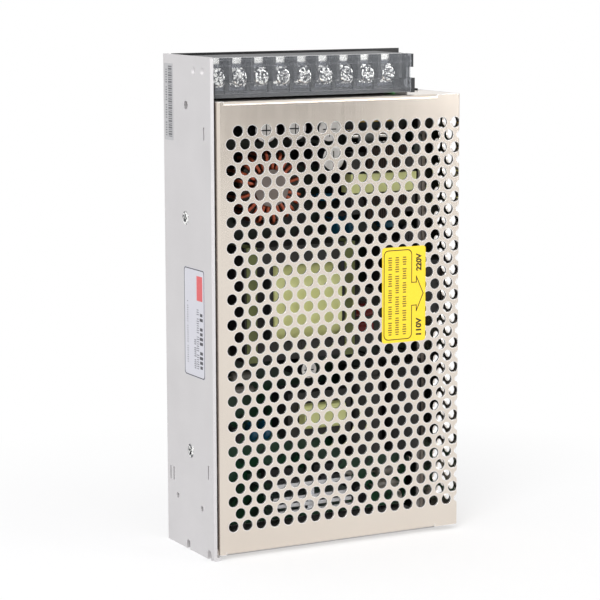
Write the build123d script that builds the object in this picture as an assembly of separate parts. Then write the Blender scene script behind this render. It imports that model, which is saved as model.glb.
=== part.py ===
from build123d import *
import math
import os

# Enclosed power supply with a perforated cover, standing on its far end.
# Millimetres. X runs across the front, Y from the front (mesh) face to the back plate, Z up.
# The origin is the centre of the case on the surface that it stands on.
# Places inside the case are given as x from the left wall's outer face, depth from the front face, and z.

# Case
case_w = 112.7
case_d = 44.5
case_h = 198.0
wall_t = 1.5
wall_bend = 1.9
cover_t = 0.8
cover_bend = 1.5
sheet_gap = 0.15
cover_side_gap = 1.1
cover_foot_gap = 2.0
flange_h = 15.0
end_setback = 6.5
heel_w = 3.2
heel_d = 2.4
plate_setback = 2.0
corner_r = 1.2
dimple_r = 1.7
dimple_depth = 0.8
relief_w = 0.6
relief_h = 3.4
lip_depth = 8.0
top_lip_depth = 27.5
foot_lip_depth = 14.0
lip_end_gap = 11.2
lip_start_gap = 1.6
lip_side_gap = 0.4
cover_setback = 1.5

# Perforation of the cover
hole_d = 4.4
column_pitch = 6.14
row_pitch = 5.04
rows = 32
columns = 17
first_column = 8.74
first_row = 13.2
side_columns = 3

# Board and what stands between it and the back plate
board_t = 1.6
board_gap = 5.9
board_edge = 2.0
board_end = 4.0
pin_r = 0.45
pin_clear = 0.12
wire_r = 0.36
pin_tail = 1.2
film_t = 0.35
film_gap = 0.15
film_rise = 13.0
film_above = 0.6
standoff_af = 5.5
thread_r = 1.5
thread_clear = 0.05
spigot_r = 2.1
standoff_inset = 5.0
standoff_low = 8.0
standoff_high = 176.0
board_screw_head_r = 2.8
board_screw_head = 2.0
board_screw_len = 5.0

# Terminals
poles = 9
pole_pitch = 9.5
first_pole = 7.5
barrier_t = 1.3
end_wall_t = 1.7
block_h = 15.4
block_end_gap = 0.7
block_front = 12.2
barrier_front = 7.0
sill_front = 10.6
sill_t = 1.3
end_gap = 2.0
ear_front = 4.1
ear_hinge_front = 2.9
ear_low = 5.8
ear_high = 10.1
plate_t = 1.0
plate_w = 7.2
tab_w = 3.8
screw_up = 7.7
screw_head_r = 3.3
screw_head = 2.2
washer_w = 7.4
washer_t = 1.0
screw_shank_r = 1.7
screw_shank = 6.5
guard_t = 1.2
guard_front = 2.5
guard_foot = 0.3
guard_side = 0.3
hinge_depth = 4.6
hinge_up = 3.8
hinge_pin_r = 0.9
hinge_clear = 0.05
lug_r = 1.6
lug_t = 1.2
lug_gap = 0.2
guard_lip = 3.0
guard_rise = 0.3
guard_rib = 0.3
guard_notch_up = 2.8

# Screws
csk_head_r = 2.75
csk_head = 1.2
m3_r = 1.45
m3_clear = 0.1
m4_core_r = 1.7
recess_w = 0.9
recess_len = 3.0
recess_depth = 0.7

# Output choke
choke_x = 35.3
choke_top_gap = 53.3
choke_core_out = 13.5
choke_core_in = 7.6
choke_core_h = 11.0
choke_turns = 26
choke_wire = 1.4
choke_wire_gap = 0.12
choke_wire_bend = 1.6
choke_foot_t = 3.0
choke_foot_r = 12.0
choke_cap_r = 7.4
choke_cap_t = 1.0
choke_stem_r = 4.4

# Main transformer
trafo_x = 45.8
trafo_z = 98.8
trafo_w = 50.6
trafo_h = 46.0
trafo_core_t = 13.8
trafo_core_front = 12.6
trafo_leg = 7.0
trafo_back = 8.4
trafo_centre_leg = 12.0
coil_w = 30.6
coil_h = 30.2
coil_front = 6.4
coil_round = 9.0
bobbin_t = 1.4
bobbin_edge = 1.0
tape_w = 4.6
tape_t = 0.25
tape_inset = 0.8
part_gap = 0.15

# Labels
label_t = 0.12
voltage_label = (76.0, 96.3, 81.0, 120.0)
rating_label = (6.6, 25.2, 71.6, 115.0)
bar_label = (33.9, 42.0, 164.0, 194.4)

# Where the faces lie
left = (label_t - case_w) / 2
right = left + case_w
front = (label_t - case_d) / 2
back = front + case_d
inside_back = case_d - wall_t
board_back = inside_back - board_gap
board_face = board_back - board_t
flange_x = case_w - cover_t - sheet_gap
block_top = case_h - block_end_gap
block_low = block_top - block_h
cover_top = block_low - block_end_gap - 0.2
cover_low = cover_foot_gap
cover_left = wall_t + cover_side_gap
hinge_z = block_low + hinge_up


def place(x, depth, z):
    """A point given from the left wall, the front face and the floor."""
    return Vector(left + x, front + depth, z)


def box(x0, x1, depth0, depth1, z0, z1):
    size = (x1 - x0, depth1 - depth0, z1 - z0)
    corner = place(x0, depth0, z0)
    return Solid.make_box(*size, Plane(corner))


def rod_back(x, z, radius, depth0, depth1):
    """A round bar that runs from front to back."""
    return Solid.make_cylinder(radius, depth1 - depth0, Plane(place(x, depth0, z), z_dir=(0, 1, 0)))


def rod_across(depth, z, radius, x0, x1):
    return Solid.make_cylinder(radius, x1 - x0, Plane(place(x0, depth, z), z_dir=(1, 0, 0)))


def rod_up(x, depth, radius, z0, z1):
    return Solid.make_cylinder(radius, z1 - z0, Plane(place(x, depth, z0), z_dir=(0, 0, 1)))


def cone_across(depth, z, r0, r1, x0, x1):
    return Solid.make_cone(r0, r1, x1 - x0, Plane(place(x0, depth, z), z_dir=(1, 0, 0)))


def save(name, *pieces):
    solids = [solid for piece in pieces for solid in piece.solids()]
    shape = solids[0] if len(solids) == 1 else Compound(solids)
    export_step(shape, f"parts/{name}.step")


def pin_holes(pins):
    return [rod_back(x, z, pin_r + pin_clear, board_face - 1, board_back + 1) for x, z in pins]


def pin_rods(pins, start=None):
    depth0 = board_face if start is None else start
    return [rod_back(x, z, pin_r, depth0, board_back + pin_tail) for x, z in pins]


def cross_recess_x(depth, z, x_face, inward):
    """The two slots of a cross recess, sunk from a face that looks along X."""
    x0, x1 = sorted((x_face - inward * 0.1, x_face + inward * recess_depth))
    tall = box(x0, x1, depth - recess_w / 2, depth + recess_w / 2, z - recess_len / 2, z + recess_len / 2)
    wide = box(x0, x1, depth - recess_len / 2, depth + recess_len / 2, z - recess_w / 2, z + recess_w / 2)
    return [tall, wide]


# Fastening points that several pieces share
wall_screw_places = [(23.5, 134.1), (20.7, 40.9)]
flange_screw_places = [(case_d - 11.5, 24.0), (case_d - 11.5, cover_top - 22.0)]
foot_screw_places = [(26.0, 10.5), (86.0, 10.5)]
standoff_places = [
    (x, z)
    for x in (board_edge + wall_t + standoff_inset, flange_x - wall_t - board_edge - standoff_inset)
    for z in (standoff_low, standoff_high)
]
mount_places = [(x, z) for x in (31.0, 81.0) for z in (24.0, 174.0)]
wall_hole_places = [(22.2, 178.7)]


def chassis():
    """One folded sheet: back plate, tall left wall, low right flange and an end plate that it stands on."""
    inner = wall_bend - wall_t
    outer_line = FilletPolyline(
        (left, front), (left, back), (left + flange_x, back), (left + flange_x, back - flange_h), radius=wall_bend
    )
    inner_line = FilletPolyline(
        (left + wall_t, front),
        (left + wall_t, back - wall_t),
        (left + flange_x - wall_t, back - wall_t),
        (left + flange_x - wall_t, back - flange_h),
        radius=inner,
    )
    caps = Line((left, front), (left + wall_t, front)) + Line(
        (left + flange_x, back - flange_h), (left + flange_x - wall_t, back - flange_h)
    )
    body = extrude(make_face(outer_line + inner_line + caps), case_h)

    # The end plate and its fold, between two relief slots.
    foot_x0 = wall_t + relief_w
    foot_x1 = flange_x - wall_t - relief_w
    foot_outer = FilletPolyline((front + end_setback, 0), (back, 0), (back, wall_bend * 2), radius=wall_bend)
    foot_inner = FilletPolyline(
        (front + end_setback, wall_t), (back - wall_t, wall_t), (back - wall_t, wall_bend * 2), radius=inner
    )
    foot_caps = Line((front + end_setback, 0), (front + end_setback, wall_t)) + Line(
        (back, wall_bend * 2), (back - wall_t, wall_bend * 2)
    )
    foot_plane = Plane((left + foot_x0, 0, 0), x_dir=(0, 1, 0), z_dir=(1, 0, 0))
    foot = extrude(foot_plane * make_face(foot_outer + foot_inner + foot_caps), foot_x1 - foot_x0)
    wall_zone = wall_bend + relief_w
    body = body.cut(
        box(foot_x0 - relief_w, foot_x1 + relief_w, inside_back - relief_h, case_d + 1, -1, relief_h),
        box(wall_zone, case_w, inside_back - wall_bend, case_d + 1, case_h - plate_setback, case_h + 1),
        box(flange_x - wall_bend, case_w, 0, case_d + 1, cover_top, case_h + 1),
    )
    heel_end = wall_t / 2
    heel = box(0, heel_w - heel_end, 0, heel_d, 0, wall_t)
    heel = heel.fuse(rod_back(heel_w - heel_end, heel_end, heel_end, 0, heel_d))
    body = body.fuse(foot, heel)

    # Holes, slots and dimples of the left wall.
    cuts = [rod_across(depth, z, m4_core_r, -1, wall_t + 1) for depth, z in wall_hole_places]
    for depth, z in wall_screw_places:
        cuts.append(rod_across(depth, z, m3_r + m3_clear, -1, wall_t + 1))
        cuts.append(cone_across(depth, z, csk_head_r + m3_clear, m3_r + m3_clear, 0, csk_head + m3_clear))
    for depth, z, height in ((40.0, 28.4, 5.5), (37.0, 28.5, 5.5), (4.6, 35.1, 5.5), (6.1, 168.4, 5.0)):
        cuts.append(box(-1, wall_t + 1, depth - 0.45, depth + 0.45, z - height / 2, z + height / 2))
    for depth, z in ((33.3, 20.1), (10.5, 19.3)):
        cuts.append(rod_across(depth, z, 1.1, -1, wall_t + 1))
    for depth in (23.6, 4.1):
        cuts.append(rod_across(depth, 2.2, 1.6, -1, wall_t + 1))
        cuts.append(box(-1, wall_t + 1, depth - 1.6, depth + 1.6, -1, 2.2))
    for depth in (15.0, 6.8):
        cuts.append(cone_across(depth, case_h - 5.7, dimple_r, dimple_r / 2, 0, dimple_depth))

    # Holes of the back plate, the flange and the end plate.
    cuts += [rod_back(x, z, m4_core_r, inside_back - 1, case_d + 1) for x, z in mount_places]
    cuts += [rod_back(x, z, spigot_r + thread_clear, inside_back - 1, case_d + 1) for x, z in standoff_places]
    for depth, z in flange_screw_places:
        cuts.append(rod_across(depth, z, m3_r + thread_clear, flange_x - wall_t - 1, flange_x + 1))
    for x, depth in foot_screw_places:
        cuts.append(rod_up(x, depth, m3_r + m3_clear, -1, wall_t + 1))
        cuts.append(Solid.make_cone(csk_head_r + m3_clear, m3_r + m3_clear, csk_head + m3_clear, Plane(place(x, depth, 0))))
    corner = box(-1, wall_t + 1, -1, corner_r, case_h - corner_r, case_h + 1)
    cuts.append(corner.cut(rod_across(corner_r, case_h - corner_r, corner_r, -2, wall_t + 2)))
    fold = box(-1, corner_r, -1, heel_d, -1, corner_r)
    cuts.append(fold.cut(rod_back(corner_r, corner_r, corner_r, -2, heel_d + 1)))
    return body.cut(*cuts)


def on_cover(run):
    """The point of the cover's middle surface at a distance along the sheet, from the left wall's face."""
    middle = cover_bend - cover_t / 2
    flat_end = case_w - cover_bend
    angle = min(max((run - flat_end) / middle, 0), math.pi / 2)
    x = min(run, flat_end) + middle * math.sin(angle)
    depth = cover_bend - middle * math.cos(angle)
    past = max(run - flat_end - middle * math.pi / 2, 0)
    return x, depth + past


def punch(run, z):
    """The tool of one round hole: a cylinder square to the sheet there, round the bend too."""
    x0, depth0 = on_cover(run - hole_d / 2)
    x1, depth1 = on_cover(run + hole_d / 2)
    across = Vector(x1 - x0, depth1 - depth0, 0).normalized()
    inward = Vector(-across.Y, across.X, 0)
    middle = place((x0 + x1) / 2, (depth0 + depth1) / 2, z)
    return Solid.make_cylinder(hole_d / 2, 5.0, Plane(middle - inward * 2.5, z_dir=inward))


# Window of the voltage selector in the cover's right side
selector_z = 100.5
selector_depth = 19.6
window_h = 15.0
window_d = 8.0
window_edge = 1.2


def perforation():
    """Rows of round holes over the front face, the bend and the upper part of the right side."""
    tools = []
    for row in range(rows):
        z = first_row + row * row_pitch
        start = first_column + (row % 2) * column_pitch / 2
        for column in range(columns + side_columns):
            run = start + column * column_pitch
            depth = on_cover(run)[1]
            reach = hole_d / 2 + window_edge
            beside = column >= columns and abs(depth - selector_depth) < window_d / 2 + reach
            if beside and abs(z - selector_z) < window_h / 2 + reach:
                continue
            tools.append(punch(run, z))
    return tools


def mesh_cover():
    """One folded, perforated sheet: front, right side, a left lip and a lip at each end."""
    inner = cover_bend - cover_t
    side_end = case_d - cover_setback
    outer_line = FilletPolyline(
        (left + cover_left, front + lip_depth),
        (left + cover_left, front),
        (right, front),
        (right, front + side_end),
        radius=cover_bend,
    )
    inner_line = FilletPolyline(
        (left + cover_left + cover_t, front + lip_depth),
        (left + cover_left + cover_t, front + cover_t),
        (right - cover_t, front + cover_t),
        (right - cover_t, front + side_end),
        radius=inner,
    )
    caps = Line((left + cover_left, front + lip_depth), (left + cover_left + cover_t, front + lip_depth)) + Line(
        (right, front + side_end), (right - cover_t, front + side_end)
    )
    sheet = extrude(Pos(0, 0, cover_low) * make_face(outer_line + inner_line + caps), cover_top - cover_low)

    # The lips at the two ends are bent back from a strip of the front face, and end in a plate with no bend.
    lip_x0 = cover_left + cover_bend + lip_start_gap
    lip_x1 = case_w - lip_end_gap
    plate_x1 = case_w - cover_t - lip_side_gap
    trims = []
    lips = []
    for end, inwards, depth in ((cover_top, -1, top_lip_depth), (cover_low, 1, foot_lip_depth)):
        outer_lip = FilletPolyline(
            (front + depth, end), (front, end), (front, end + inwards * cover_bend * 2), radius=cover_bend
        )
        inner_lip = FilletPolyline(
            (front + depth, end + inwards * cover_t),
            (front + cover_t, end + inwards * cover_t),
            (front + cover_t, end + inwards * cover_bend * 2),
            radius=inner,
        )
        ends = Line((front + depth, end), (front + depth, end + inwards * cover_t)) + Line(
            (front, end + inwards * cover_bend * 2), (front + cover_t, end + inwards * cover_bend * 2)
        )
        plane = Plane((left + lip_x0, 0, 0), x_dir=(0, 1, 0), z_dir=(1, 0, 0))
        lips.append(extrude(plane * make_face(outer_lip + inner_lip + ends), lip_x1 - lip_x0))
        z0, z1 = sorted((end, end + inwards * cover_t))
        lips.append(box(lip_x1, plate_x1, cover_bend, depth, z0, z1))
        z0, z1 = sorted((end - inwards, end + inwards * cover_bend * 2))
        trims.append(box(lip_x0, lip_x1, -1, cover_t + 0.5, z0, z1))
    sheet = sheet.cut(*trims).fuse(*lips)

    window = box(
        case_w - cover_t - 1,
        case_w + 1,
        selector_depth - window_d / 2,
        selector_depth + window_d / 2,
        selector_z - window_h / 2,
        selector_z + window_h / 2,
    )
    screws = []
    for depth, z in flange_screw_places:
        screws.append(rod_across(depth, z, csk_head_r + m3_clear, case_w - cover_t - 1, case_w + 1))
    for x, depth in foot_screw_places:
        screws.append(rod_up(x, depth, m3_r + thread_clear, cover_low - 1, cover_low + cover_t + 1))
    return sheet.cut(*perforation(), window, *screws)


def cover_screws():
    """Four countersunk screws: two through the side into the flange, two through the end plate into the lip."""
    solids = []
    for depth, z in flange_screw_places:
        head = rod_across(depth, z, csk_head_r, flange_x, case_w)
        shank = rod_across(depth, z, m3_r, flange_x - wall_t - 2.5, flange_x)
        solids.append(head.fuse(shank).cut(*cross_recess_x(depth, z, case_w, -1)))
    for x, depth in foot_screw_places:
        head = Solid.make_cone(csk_head_r, m3_r, csk_head, Plane(place(x, depth, 0)))
        shank = rod_up(x, depth, m3_r, csk_head, wall_t + cover_low + 3.0)
        slot = box(x - recess_len / 2, x + recess_len / 2, depth - recess_w / 2, depth + recess_w / 2, -1, recess_depth)
        solids.append(head.fuse(shank).cut(slot))
    return solids


# Power devices that the left wall cools, in pairs under a steel bar
device_t = 4.6
device_w = 10.0
device_len = 15.6
device_offset = 8.4
device_above = 6.0
device_lead_pitch = 2.54
pad_t = 0.3
pad_edge = 1.2
bar_t = 2.0
bar_w = 7.0
bar_over = 3.0
nut_af = 5.5
nut_t = 2.4
nut_face = wall_t + pad_t + device_t + bar_t


def wall_screws():
    solids = []
    for depth, z in wall_screw_places:
        head = cone_across(depth, z, csk_head_r, m3_r, 0, csk_head)
        shank = rod_across(depth, z, m3_r, csk_head, nut_face + nut_t + 1.0)
        solids.append(head.fuse(shank).cut(*cross_recess_x(depth, z, 0, 1)))
    return solids


def wall_pads():
    solids = []
    for depth, z in wall_screw_places:
        half = device_offset + device_w / 2 + pad_edge
        low = depth - device_above - pad_edge
        high = depth - device_above + device_len + pad_edge
        pad = box(wall_t, wall_t + pad_t, low, high, z - half, z + half)
        solids.append(pad.cut(rod_across(depth, z, m3_r + m3_clear, 0, wall_t + 2)))
    return solids


def wall_device_places():
    return [(depth, z + side * device_offset) for depth, z in wall_screw_places for side in (-1, 1)]


def wall_device_pins():
    x = wall_t + pad_t + device_t / 2
    return [(x, z + k * device_lead_pitch) for depth, z in wall_device_places() for k in (-1, 0, 1)]


def wall_devices():
    """Power devices that lie flat on the wall, each with three leads down to the board."""
    solids = []
    x0 = wall_t + pad_t
    for index, (depth, z) in enumerate(wall_device_places()):
        start = depth - device_above
        body = box(x0, x0 + device_t, start, start + device_len, z - device_w / 2, z + device_w / 2)
        leads = pin_rods(wall_device_pins()[3 * index : 3 * index + 3], start + device_len - 1)
        solids.append(body.fuse(*leads))
    return solids


def clamp_bars():
    solids = []
    x0 = wall_t + pad_t + device_t
    for depth, z in wall_screw_places:
        half = device_offset + bar_over
        bar = box(x0, x0 + bar_t, depth - bar_w / 2, depth + bar_w / 2, z - half, z + half)
        solids.append(bar.cut(rod_across(depth, z, m3_r + m3_clear, x0 - 1, x0 + bar_t + 1)))
    return solids


def wall_nuts():
    solids = []
    for depth, z in wall_screw_places:
        plane = Plane(place(nut_face, depth, z), z_dir=(1, 0, 0))
        nut = extrude(plane * RegularPolygon(nut_af / 2, 6, major_radius=False), nut_t)
        solids.append(nut.cut(rod_across(depth, z, m3_r + thread_clear, nut_face - 1, nut_face + nut_t + 1)))
    return solids


def standoffs():
    solids = []
    for x, z in standoff_places:
        plane = Plane(place(x, board_back, z), z_dir=(0, 1, 0))
        post = extrude(plane * RegularPolygon(standoff_af / 2, 6, major_radius=False), board_gap)
        post = post.fuse(rod_back(x, z, spigot_r, inside_back, case_d))
        solids.append(post.cut(rod_back(x, z, thread_r, board_back - 1, board_back + board_screw_len)))
    return solids


def board_screws():
    solids = []
    for x, z in standoff_places:
        head = rod_back(x, z, board_screw_head_r, board_face - board_screw_head, board_face)
        head = fillet(head.edges().sort_by(Axis.Y)[:1], 0.8)
        shank = rod_back(x, z, thread_r - thread_clear, board_face, board_back + board_screw_len - 0.5)
        d0 = board_face - board_screw_head - 1
        d1 = board_face - board_screw_head + 0.9
        slots = [
            box(x - recess_len / 2, x + recess_len / 2, d0, d1, z - recess_w / 2, z + recess_w / 2),
            box(x - recess_w / 2, x + recess_w / 2, d0, d1, z - recess_len / 2, z + recess_len / 2),
        ]
        solids.append(head.fuse(shank).cut(*slots))
    return solids


def insulation_sheet():
    """Black film between the board and the back plate, folded up along the right flange."""
    x0 = left + wall_t + wall_bend
    x1 = left + flange_x - wall_t - film_gap
    low = wall_bend + film_gap
    y1 = back - wall_t - film_gap
    outer_line = FilletPolyline((x0, y1), (x1, y1), (x1, y1 - film_rise), radius=wall_bend)
    inner_line = FilletPolyline(
        (x0, y1 - film_t), (x1 - film_t, y1 - film_t), (x1 - film_t, y1 - film_rise), radius=wall_bend - film_t
    )
    caps = Line((x0, y1), (x0, y1 - film_t)) + Line((x1, y1 - film_rise), (x1 - film_t, y1 - film_rise))
    film = extrude(Pos(0, 0, low) * make_face(outer_line + inner_line + caps), case_h - low)
    depth1 = inside_back - film_gap
    edge_x = flange_x - wall_t - film_gap
    holes = [rod_back(x, z, standoff_af * 0.62, depth1 - 2, case_d) for x, z in standoff_places]
    holes += [rod_back(x, z, 3.2, depth1 - 2, case_d) for x, z in mount_places]
    holes += [rod_across(depth, z, 2.4, edge_x - 2, edge_x + 1) for depth, z in flange_screw_places]
    corner = box(edge_x - wall_bend, edge_x + 1, 0, case_d, cover_top + film_above, case_h + 1)
    return film.cut(*holes, corner)


# Terminal block
def pole_x(index):
    return first_pole + index * pole_pitch


block_x0 = first_pole - pole_pitch / 2 - barrier_t / 2
block_x1 = pole_x(poles - 1) + pole_pitch / 2 + barrier_t / 2 + end_gap + end_wall_t
screw_z = block_low + screw_up
terminal_pins = [(pole_x(i), block_low + 3.0) for i in range(poles)]


def terminal_block():
    """Moulded block with a barrier beside every pole, and ears at its ends for the hinged guard."""
    base = box(block_x0, block_x1, block_front, board_face, block_low, block_top)
    parts = [box(block_x0, block_x1, sill_front, block_front, block_low, block_low + sill_t)]
    step = block_low + ear_low
    barrier = [
        (front + block_front, block_low),
        (front + sill_front, block_low),
        (front + sill_front, step),
        (front + barrier_front, step),
        (front + barrier_front, block_top),
        (front + block_front, block_top),
    ]
    ear = [
        (front + block_front, block_low),
        (front + ear_hinge_front, block_low),
        (front + ear_hinge_front, step),
        (front + barrier_front, step),
        (front + barrier_front, block_low + ear_high),
        (front + ear_front, block_low + ear_high),
        (front + ear_front, block_top),
        (front + block_front, block_top),
    ]
    walls = [(block_x0, barrier_t, ear), (block_x1 - end_wall_t, end_wall_t, ear)]
    for i in range(1, poles + 1):
        walls.append((first_pole + (i - 0.5) * pole_pitch - barrier_t / 2, barrier_t, barrier))
    for x0, thick, outline in walls:
        plane = Plane((left + x0, 0, 0), x_dir=(0, 1, 0), z_dir=(1, 0, 0))
        parts.append(extrude(plane * make_face(Polyline(*outline, close=True)), thick))
    body = base.fuse(*parts)
    cuts = [rod_across(hinge_depth, hinge_z, hinge_pin_r + hinge_clear, block_x0 - 1, block_x1 + 1)]
    for i in range(poles):
        cuts.append(rod_back(pole_x(i), screw_z, screw_shank_r + 0.4, block_front - 1, block_front + screw_shank))
        x, z = terminal_pins[i]
        cuts.append(box(x - 1.2, x + 1.2, block_front - 1, board_face + 1, z - 0.8, z + 0.8))
    return body.cut(*cuts)


def terminal_plates():
    """One bent plate a pole: a seat under the screw, a tab at the end, and a tail down to the board."""
    solids = []
    for i in range(poles):
        x = pole_x(i)
        z = terminal_pins[i][1]
        seat = box(x - plate_w / 2, x + plate_w / 2, block_front - plate_t, block_front, z - 0.5, screw_z + 4.2)
        tab = box(x - tab_w / 2, x + tab_w / 2, block_front - plate_t, block_front, screw_z + 4.2, block_top - 0.2)
        tail = box(x - 0.9, x + 0.9, block_front, board_face - 0.5, z - 0.5, z + 0.5)
        pin = rod_back(x, z, pin_r, board_face - 0.5, board_back + pin_tail)
        hole = rod_back(x, screw_z, screw_shank_r + 0.1, block_front - plate_t - 1, block_front + 1)
        solids.append(seat.fuse(tab, tail, pin).cut(hole))
    return solids


washer_face = block_front - plate_t - washer_t


def clamp_washers():
    solids = []
    for i in range(poles):
        x = pole_x(i)
        half = washer_w / 2
        plate = box(x - half, x + half, washer_face, washer_face + washer_t, screw_z - half, screw_z + half)
        plate = plate.cut(rod_back(x, screw_z, screw_shank_r + 0.1, washer_face - 1, washer_face + 2))
        solids.append(chamfer(plate.edges().filter_by(Axis.Y).filter_by(GeomType.LINE), 1.2))
    return solids


def terminal_screws():
    solids = []
    for i in range(poles):
        x = pole_x(i)
        head = rod_back(x, screw_z, screw_head_r, washer_face - screw_head, washer_face)
        head = fillet(head.edges().sort_by(Axis.Y)[:1], 0.9)
        shank = rod_back(x, screw_z, screw_shank_r, washer_face, block_front + screw_shank - 0.5)
        d0 = washer_face - screw_head - 1
        d1 = washer_face - screw_head + 1.0
        slots = [
            box(x - 2.2, x + 2.2, d0, d1, screw_z - 0.5, screw_z + 0.5),
            box(x - 0.5, x + 0.5, d0, d1, screw_z - 2.2, screw_z + 2.2),
        ]
        solids.append(head.fuse(shank).cut(*slots))
    return solids


def terminal_cover():
    """Clear guard: a front plate with two ribs, a top lip, and two lugs with hinge pins."""
    x0 = block_x0
    x1 = block_x1 - end_wall_t - guard_side
    low = block_low + guard_foot
    top = block_top + guard_rise
    plate = box(x0, x1, guard_front, guard_front + guard_t, low, top)
    lip_x0 = x0 + barrier_t + lug_gap
    notch = box(x0 - 1, lip_x0, 0, block_front, low - 1, hinge_z + guard_notch_up)
    lip = box(lip_x0, x1, guard_front, guard_front + guard_lip, top - 1.0, top)
    ribs = [
        box(x0, x1, guard_front - guard_rib, guard_front, low + 1.6, low + 2.2),
        box(x0, x1, guard_front - guard_rib, guard_front, top - 3.4, top - 2.8),
        box(x1 - 2.6, x1 - 2.0, guard_front - guard_rib, guard_front, low + 2.2, top - 3.4),
    ]
    lugs = []
    inner0 = block_x0 + barrier_t + lug_gap
    inner1 = block_x1 - end_wall_t - lug_gap - lug_t
    for start, pin0, pin1 in (
        (inner0, block_x0 + 0.3, inner0),
        (inner1, inner1 + lug_t, block_x1 - 0.3),
    ):
        lugs.append(rod_across(hinge_depth, hinge_z, lug_r, start, start + lug_t))
        lugs.append(box(start, start + lug_t, guard_front + guard_t, hinge_depth, hinge_z - lug_r, hinge_z + lug_r))
        lugs.append(rod_across(hinge_depth, hinge_z, hinge_pin_r, pin0, pin1))
    return plate.fuse(lip, *ribs).cut(notch).fuse(*lugs)


# Output choke
choke_z = case_h - choke_top_gap
choke_low = board_face - choke_foot_t
choke_core_back = choke_low - choke_wire - choke_wire_gap * 2
choke_core_front = choke_core_back - choke_core_h
choke_pins = [(choke_x + k * 6.0, choke_z - 14.0) for k in (-1, 1)]


def choke_core():
    ring = rod_back(choke_x, choke_z, choke_core_out, choke_core_front, choke_core_back)
    ring = ring.cut(rod_back(choke_x, choke_z, choke_core_in, choke_core_front - 1, choke_core_back + 1))
    return fillet(ring.edges(), 0.8)


def choke_winding():
    """Turns of thick wire, each a closed loop round the core's section."""
    away = choke_wire / 2 + choke_wire_gap
    r0 = choke_core_in - away
    r1 = choke_core_out + away
    depth0 = choke_core_front - away
    depth1 = choke_core_back + away
    plane = Plane(((r0 + r1) / 2, front + (depth0 + depth1) / 2, 0))
    loop = (plane * RectangleRounded(r1 - r0, depth1 - depth0, choke_wire_bend)).wire()
    section = Plane(origin=loop @ 0, z_dir=loop % 0) * Circle(choke_wire / 2)
    turn = sweep(section, path=loop)
    centre = Pos(left + choke_x, 0, choke_z)
    return [centre * Rot(0, 360 * i / choke_turns, 0) * turn for i in range(choke_turns)]


def choke_foot():
    foot = rod_back(choke_x, choke_z, choke_foot_r, choke_low, board_face)
    pad = box(choke_x - 8.0, choke_x + 8.0, choke_low, board_face, choke_z - 15.5, choke_z)
    socket = rod_back(choke_x, choke_z, choke_stem_r - 1.0 + 0.1, choke_low - 1, board_face + 1)
    return [foot.fuse(pad, *pin_rods(choke_pins)).cut(socket)]


def choke_clamp():
    """Grey plastic button that holds the ring down, with a stem into the foot."""
    cap_back = choke_core_front - choke_wire - choke_wire_gap * 2
    cap = rod_back(choke_x, choke_z, choke_cap_r, cap_back - choke_cap_t, cap_back)
    stem = rod_back(choke_x, choke_z, choke_stem_r, cap_back, choke_low)
    tip = rod_back(choke_x, choke_z, choke_stem_r - 1.0, choke_low, board_face)
    return cap.fuse(stem, tip)


# Main transformer
trafo_x0 = trafo_x - trafo_w / 2
trafo_x1 = trafo_x + trafo_w / 2
trafo_z0 = trafo_z - trafo_h / 2
trafo_z1 = trafo_z + trafo_h / 2
coil_back = board_face - 1.4
trafo_pins = [
    (trafo_x + side * (coil_w / 2 + bobbin_t / 2), trafo_z + k * 5.0) for side in (-1, 1) for k in (-2, -1, 0, 1, 2)
]


def transformer_core():
    """Two E halves of ferrite that meet in the middle."""
    halves = []
    for side in (-1, 1):
        x_out = trafo_x + side * trafo_w / 2
        x_in = x_out - side * trafo_back
        x_mid = trafo_x + side * part_gap / 2
        core_back = trafo_core_front + trafo_core_t
        back_x = sorted((x_out, x_in))
        leg_x = sorted((x_in, x_mid))
        spans = [
            (back_x, trafo_z0, trafo_z1),
            (leg_x, trafo_z0, trafo_z0 + trafo_leg),
            (leg_x, trafo_z1 - trafo_leg, trafo_z1),
            (leg_x, trafo_z - trafo_centre_leg / 2, trafo_z + trafo_centre_leg / 2),
        ]
        pieces = [box(xs[0], xs[1], trafo_core_front, core_back, z0, z1) for xs, z0, z1 in spans]
        halves.append(pieces[0].fuse(*pieces[1:]))
    return halves


def coil_tunnel(margin):
    half = trafo_centre_leg / 2 + margin
    core_back = trafo_core_front + trafo_core_t
    return box(trafo_x0, trafo_x1, trafo_core_front - margin, core_back + margin, trafo_z - half, trafo_z + half)


def transformer_bobbin():
    """A square tube on the centre leg with a flange at each end and a row of pins under each."""
    tube_wall = 0.9
    half = trafo_centre_leg / 2 + part_gap + tube_wall
    d0 = trafo_core_front - part_gap - tube_wall
    d1 = trafo_core_front + trafo_core_t + part_gap + tube_wall
    length = coil_w / 2 + bobbin_t
    tube = box(trafo_x - length, trafo_x + length, d0, d1, trafo_z - half, trafo_z + half)
    pieces = []
    for side in (-1, 1):
        xs = sorted((trafo_x + side * coil_w / 2, trafo_x + side * length))
        z_edge = trafo_h / 2 - trafo_leg - part_gap
        flange = box(xs[0], xs[1], coil_front + bobbin_edge, board_face, trafo_z - z_edge, trafo_z + z_edge)
        pieces.append(flange)
    body = tube.fuse(*pieces, *pin_rods(trafo_pins))
    return body.cut(coil_tunnel(part_gap))


def transformer_coil():
    """Taped winding, rounded where the tape goes over its edges."""
    tube_wall = 0.9
    half = trafo_centre_leg / 2 + part_gap + tube_wall
    d0 = trafo_core_front - part_gap - tube_wall
    d1 = trafo_core_front + trafo_core_t + part_gap + tube_wall
    body = box(
        trafo_x - coil_w / 2, trafo_x + coil_w / 2, coil_front, coil_back, trafo_z - coil_h / 2, trafo_z + coil_h / 2
    )
    body = fillet(body.edges().filter_by(Axis.X), coil_round)
    return body.cut(box(trafo_x0, trafo_x1, d0, d1, trafo_z - half, trafo_z + half))


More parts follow.
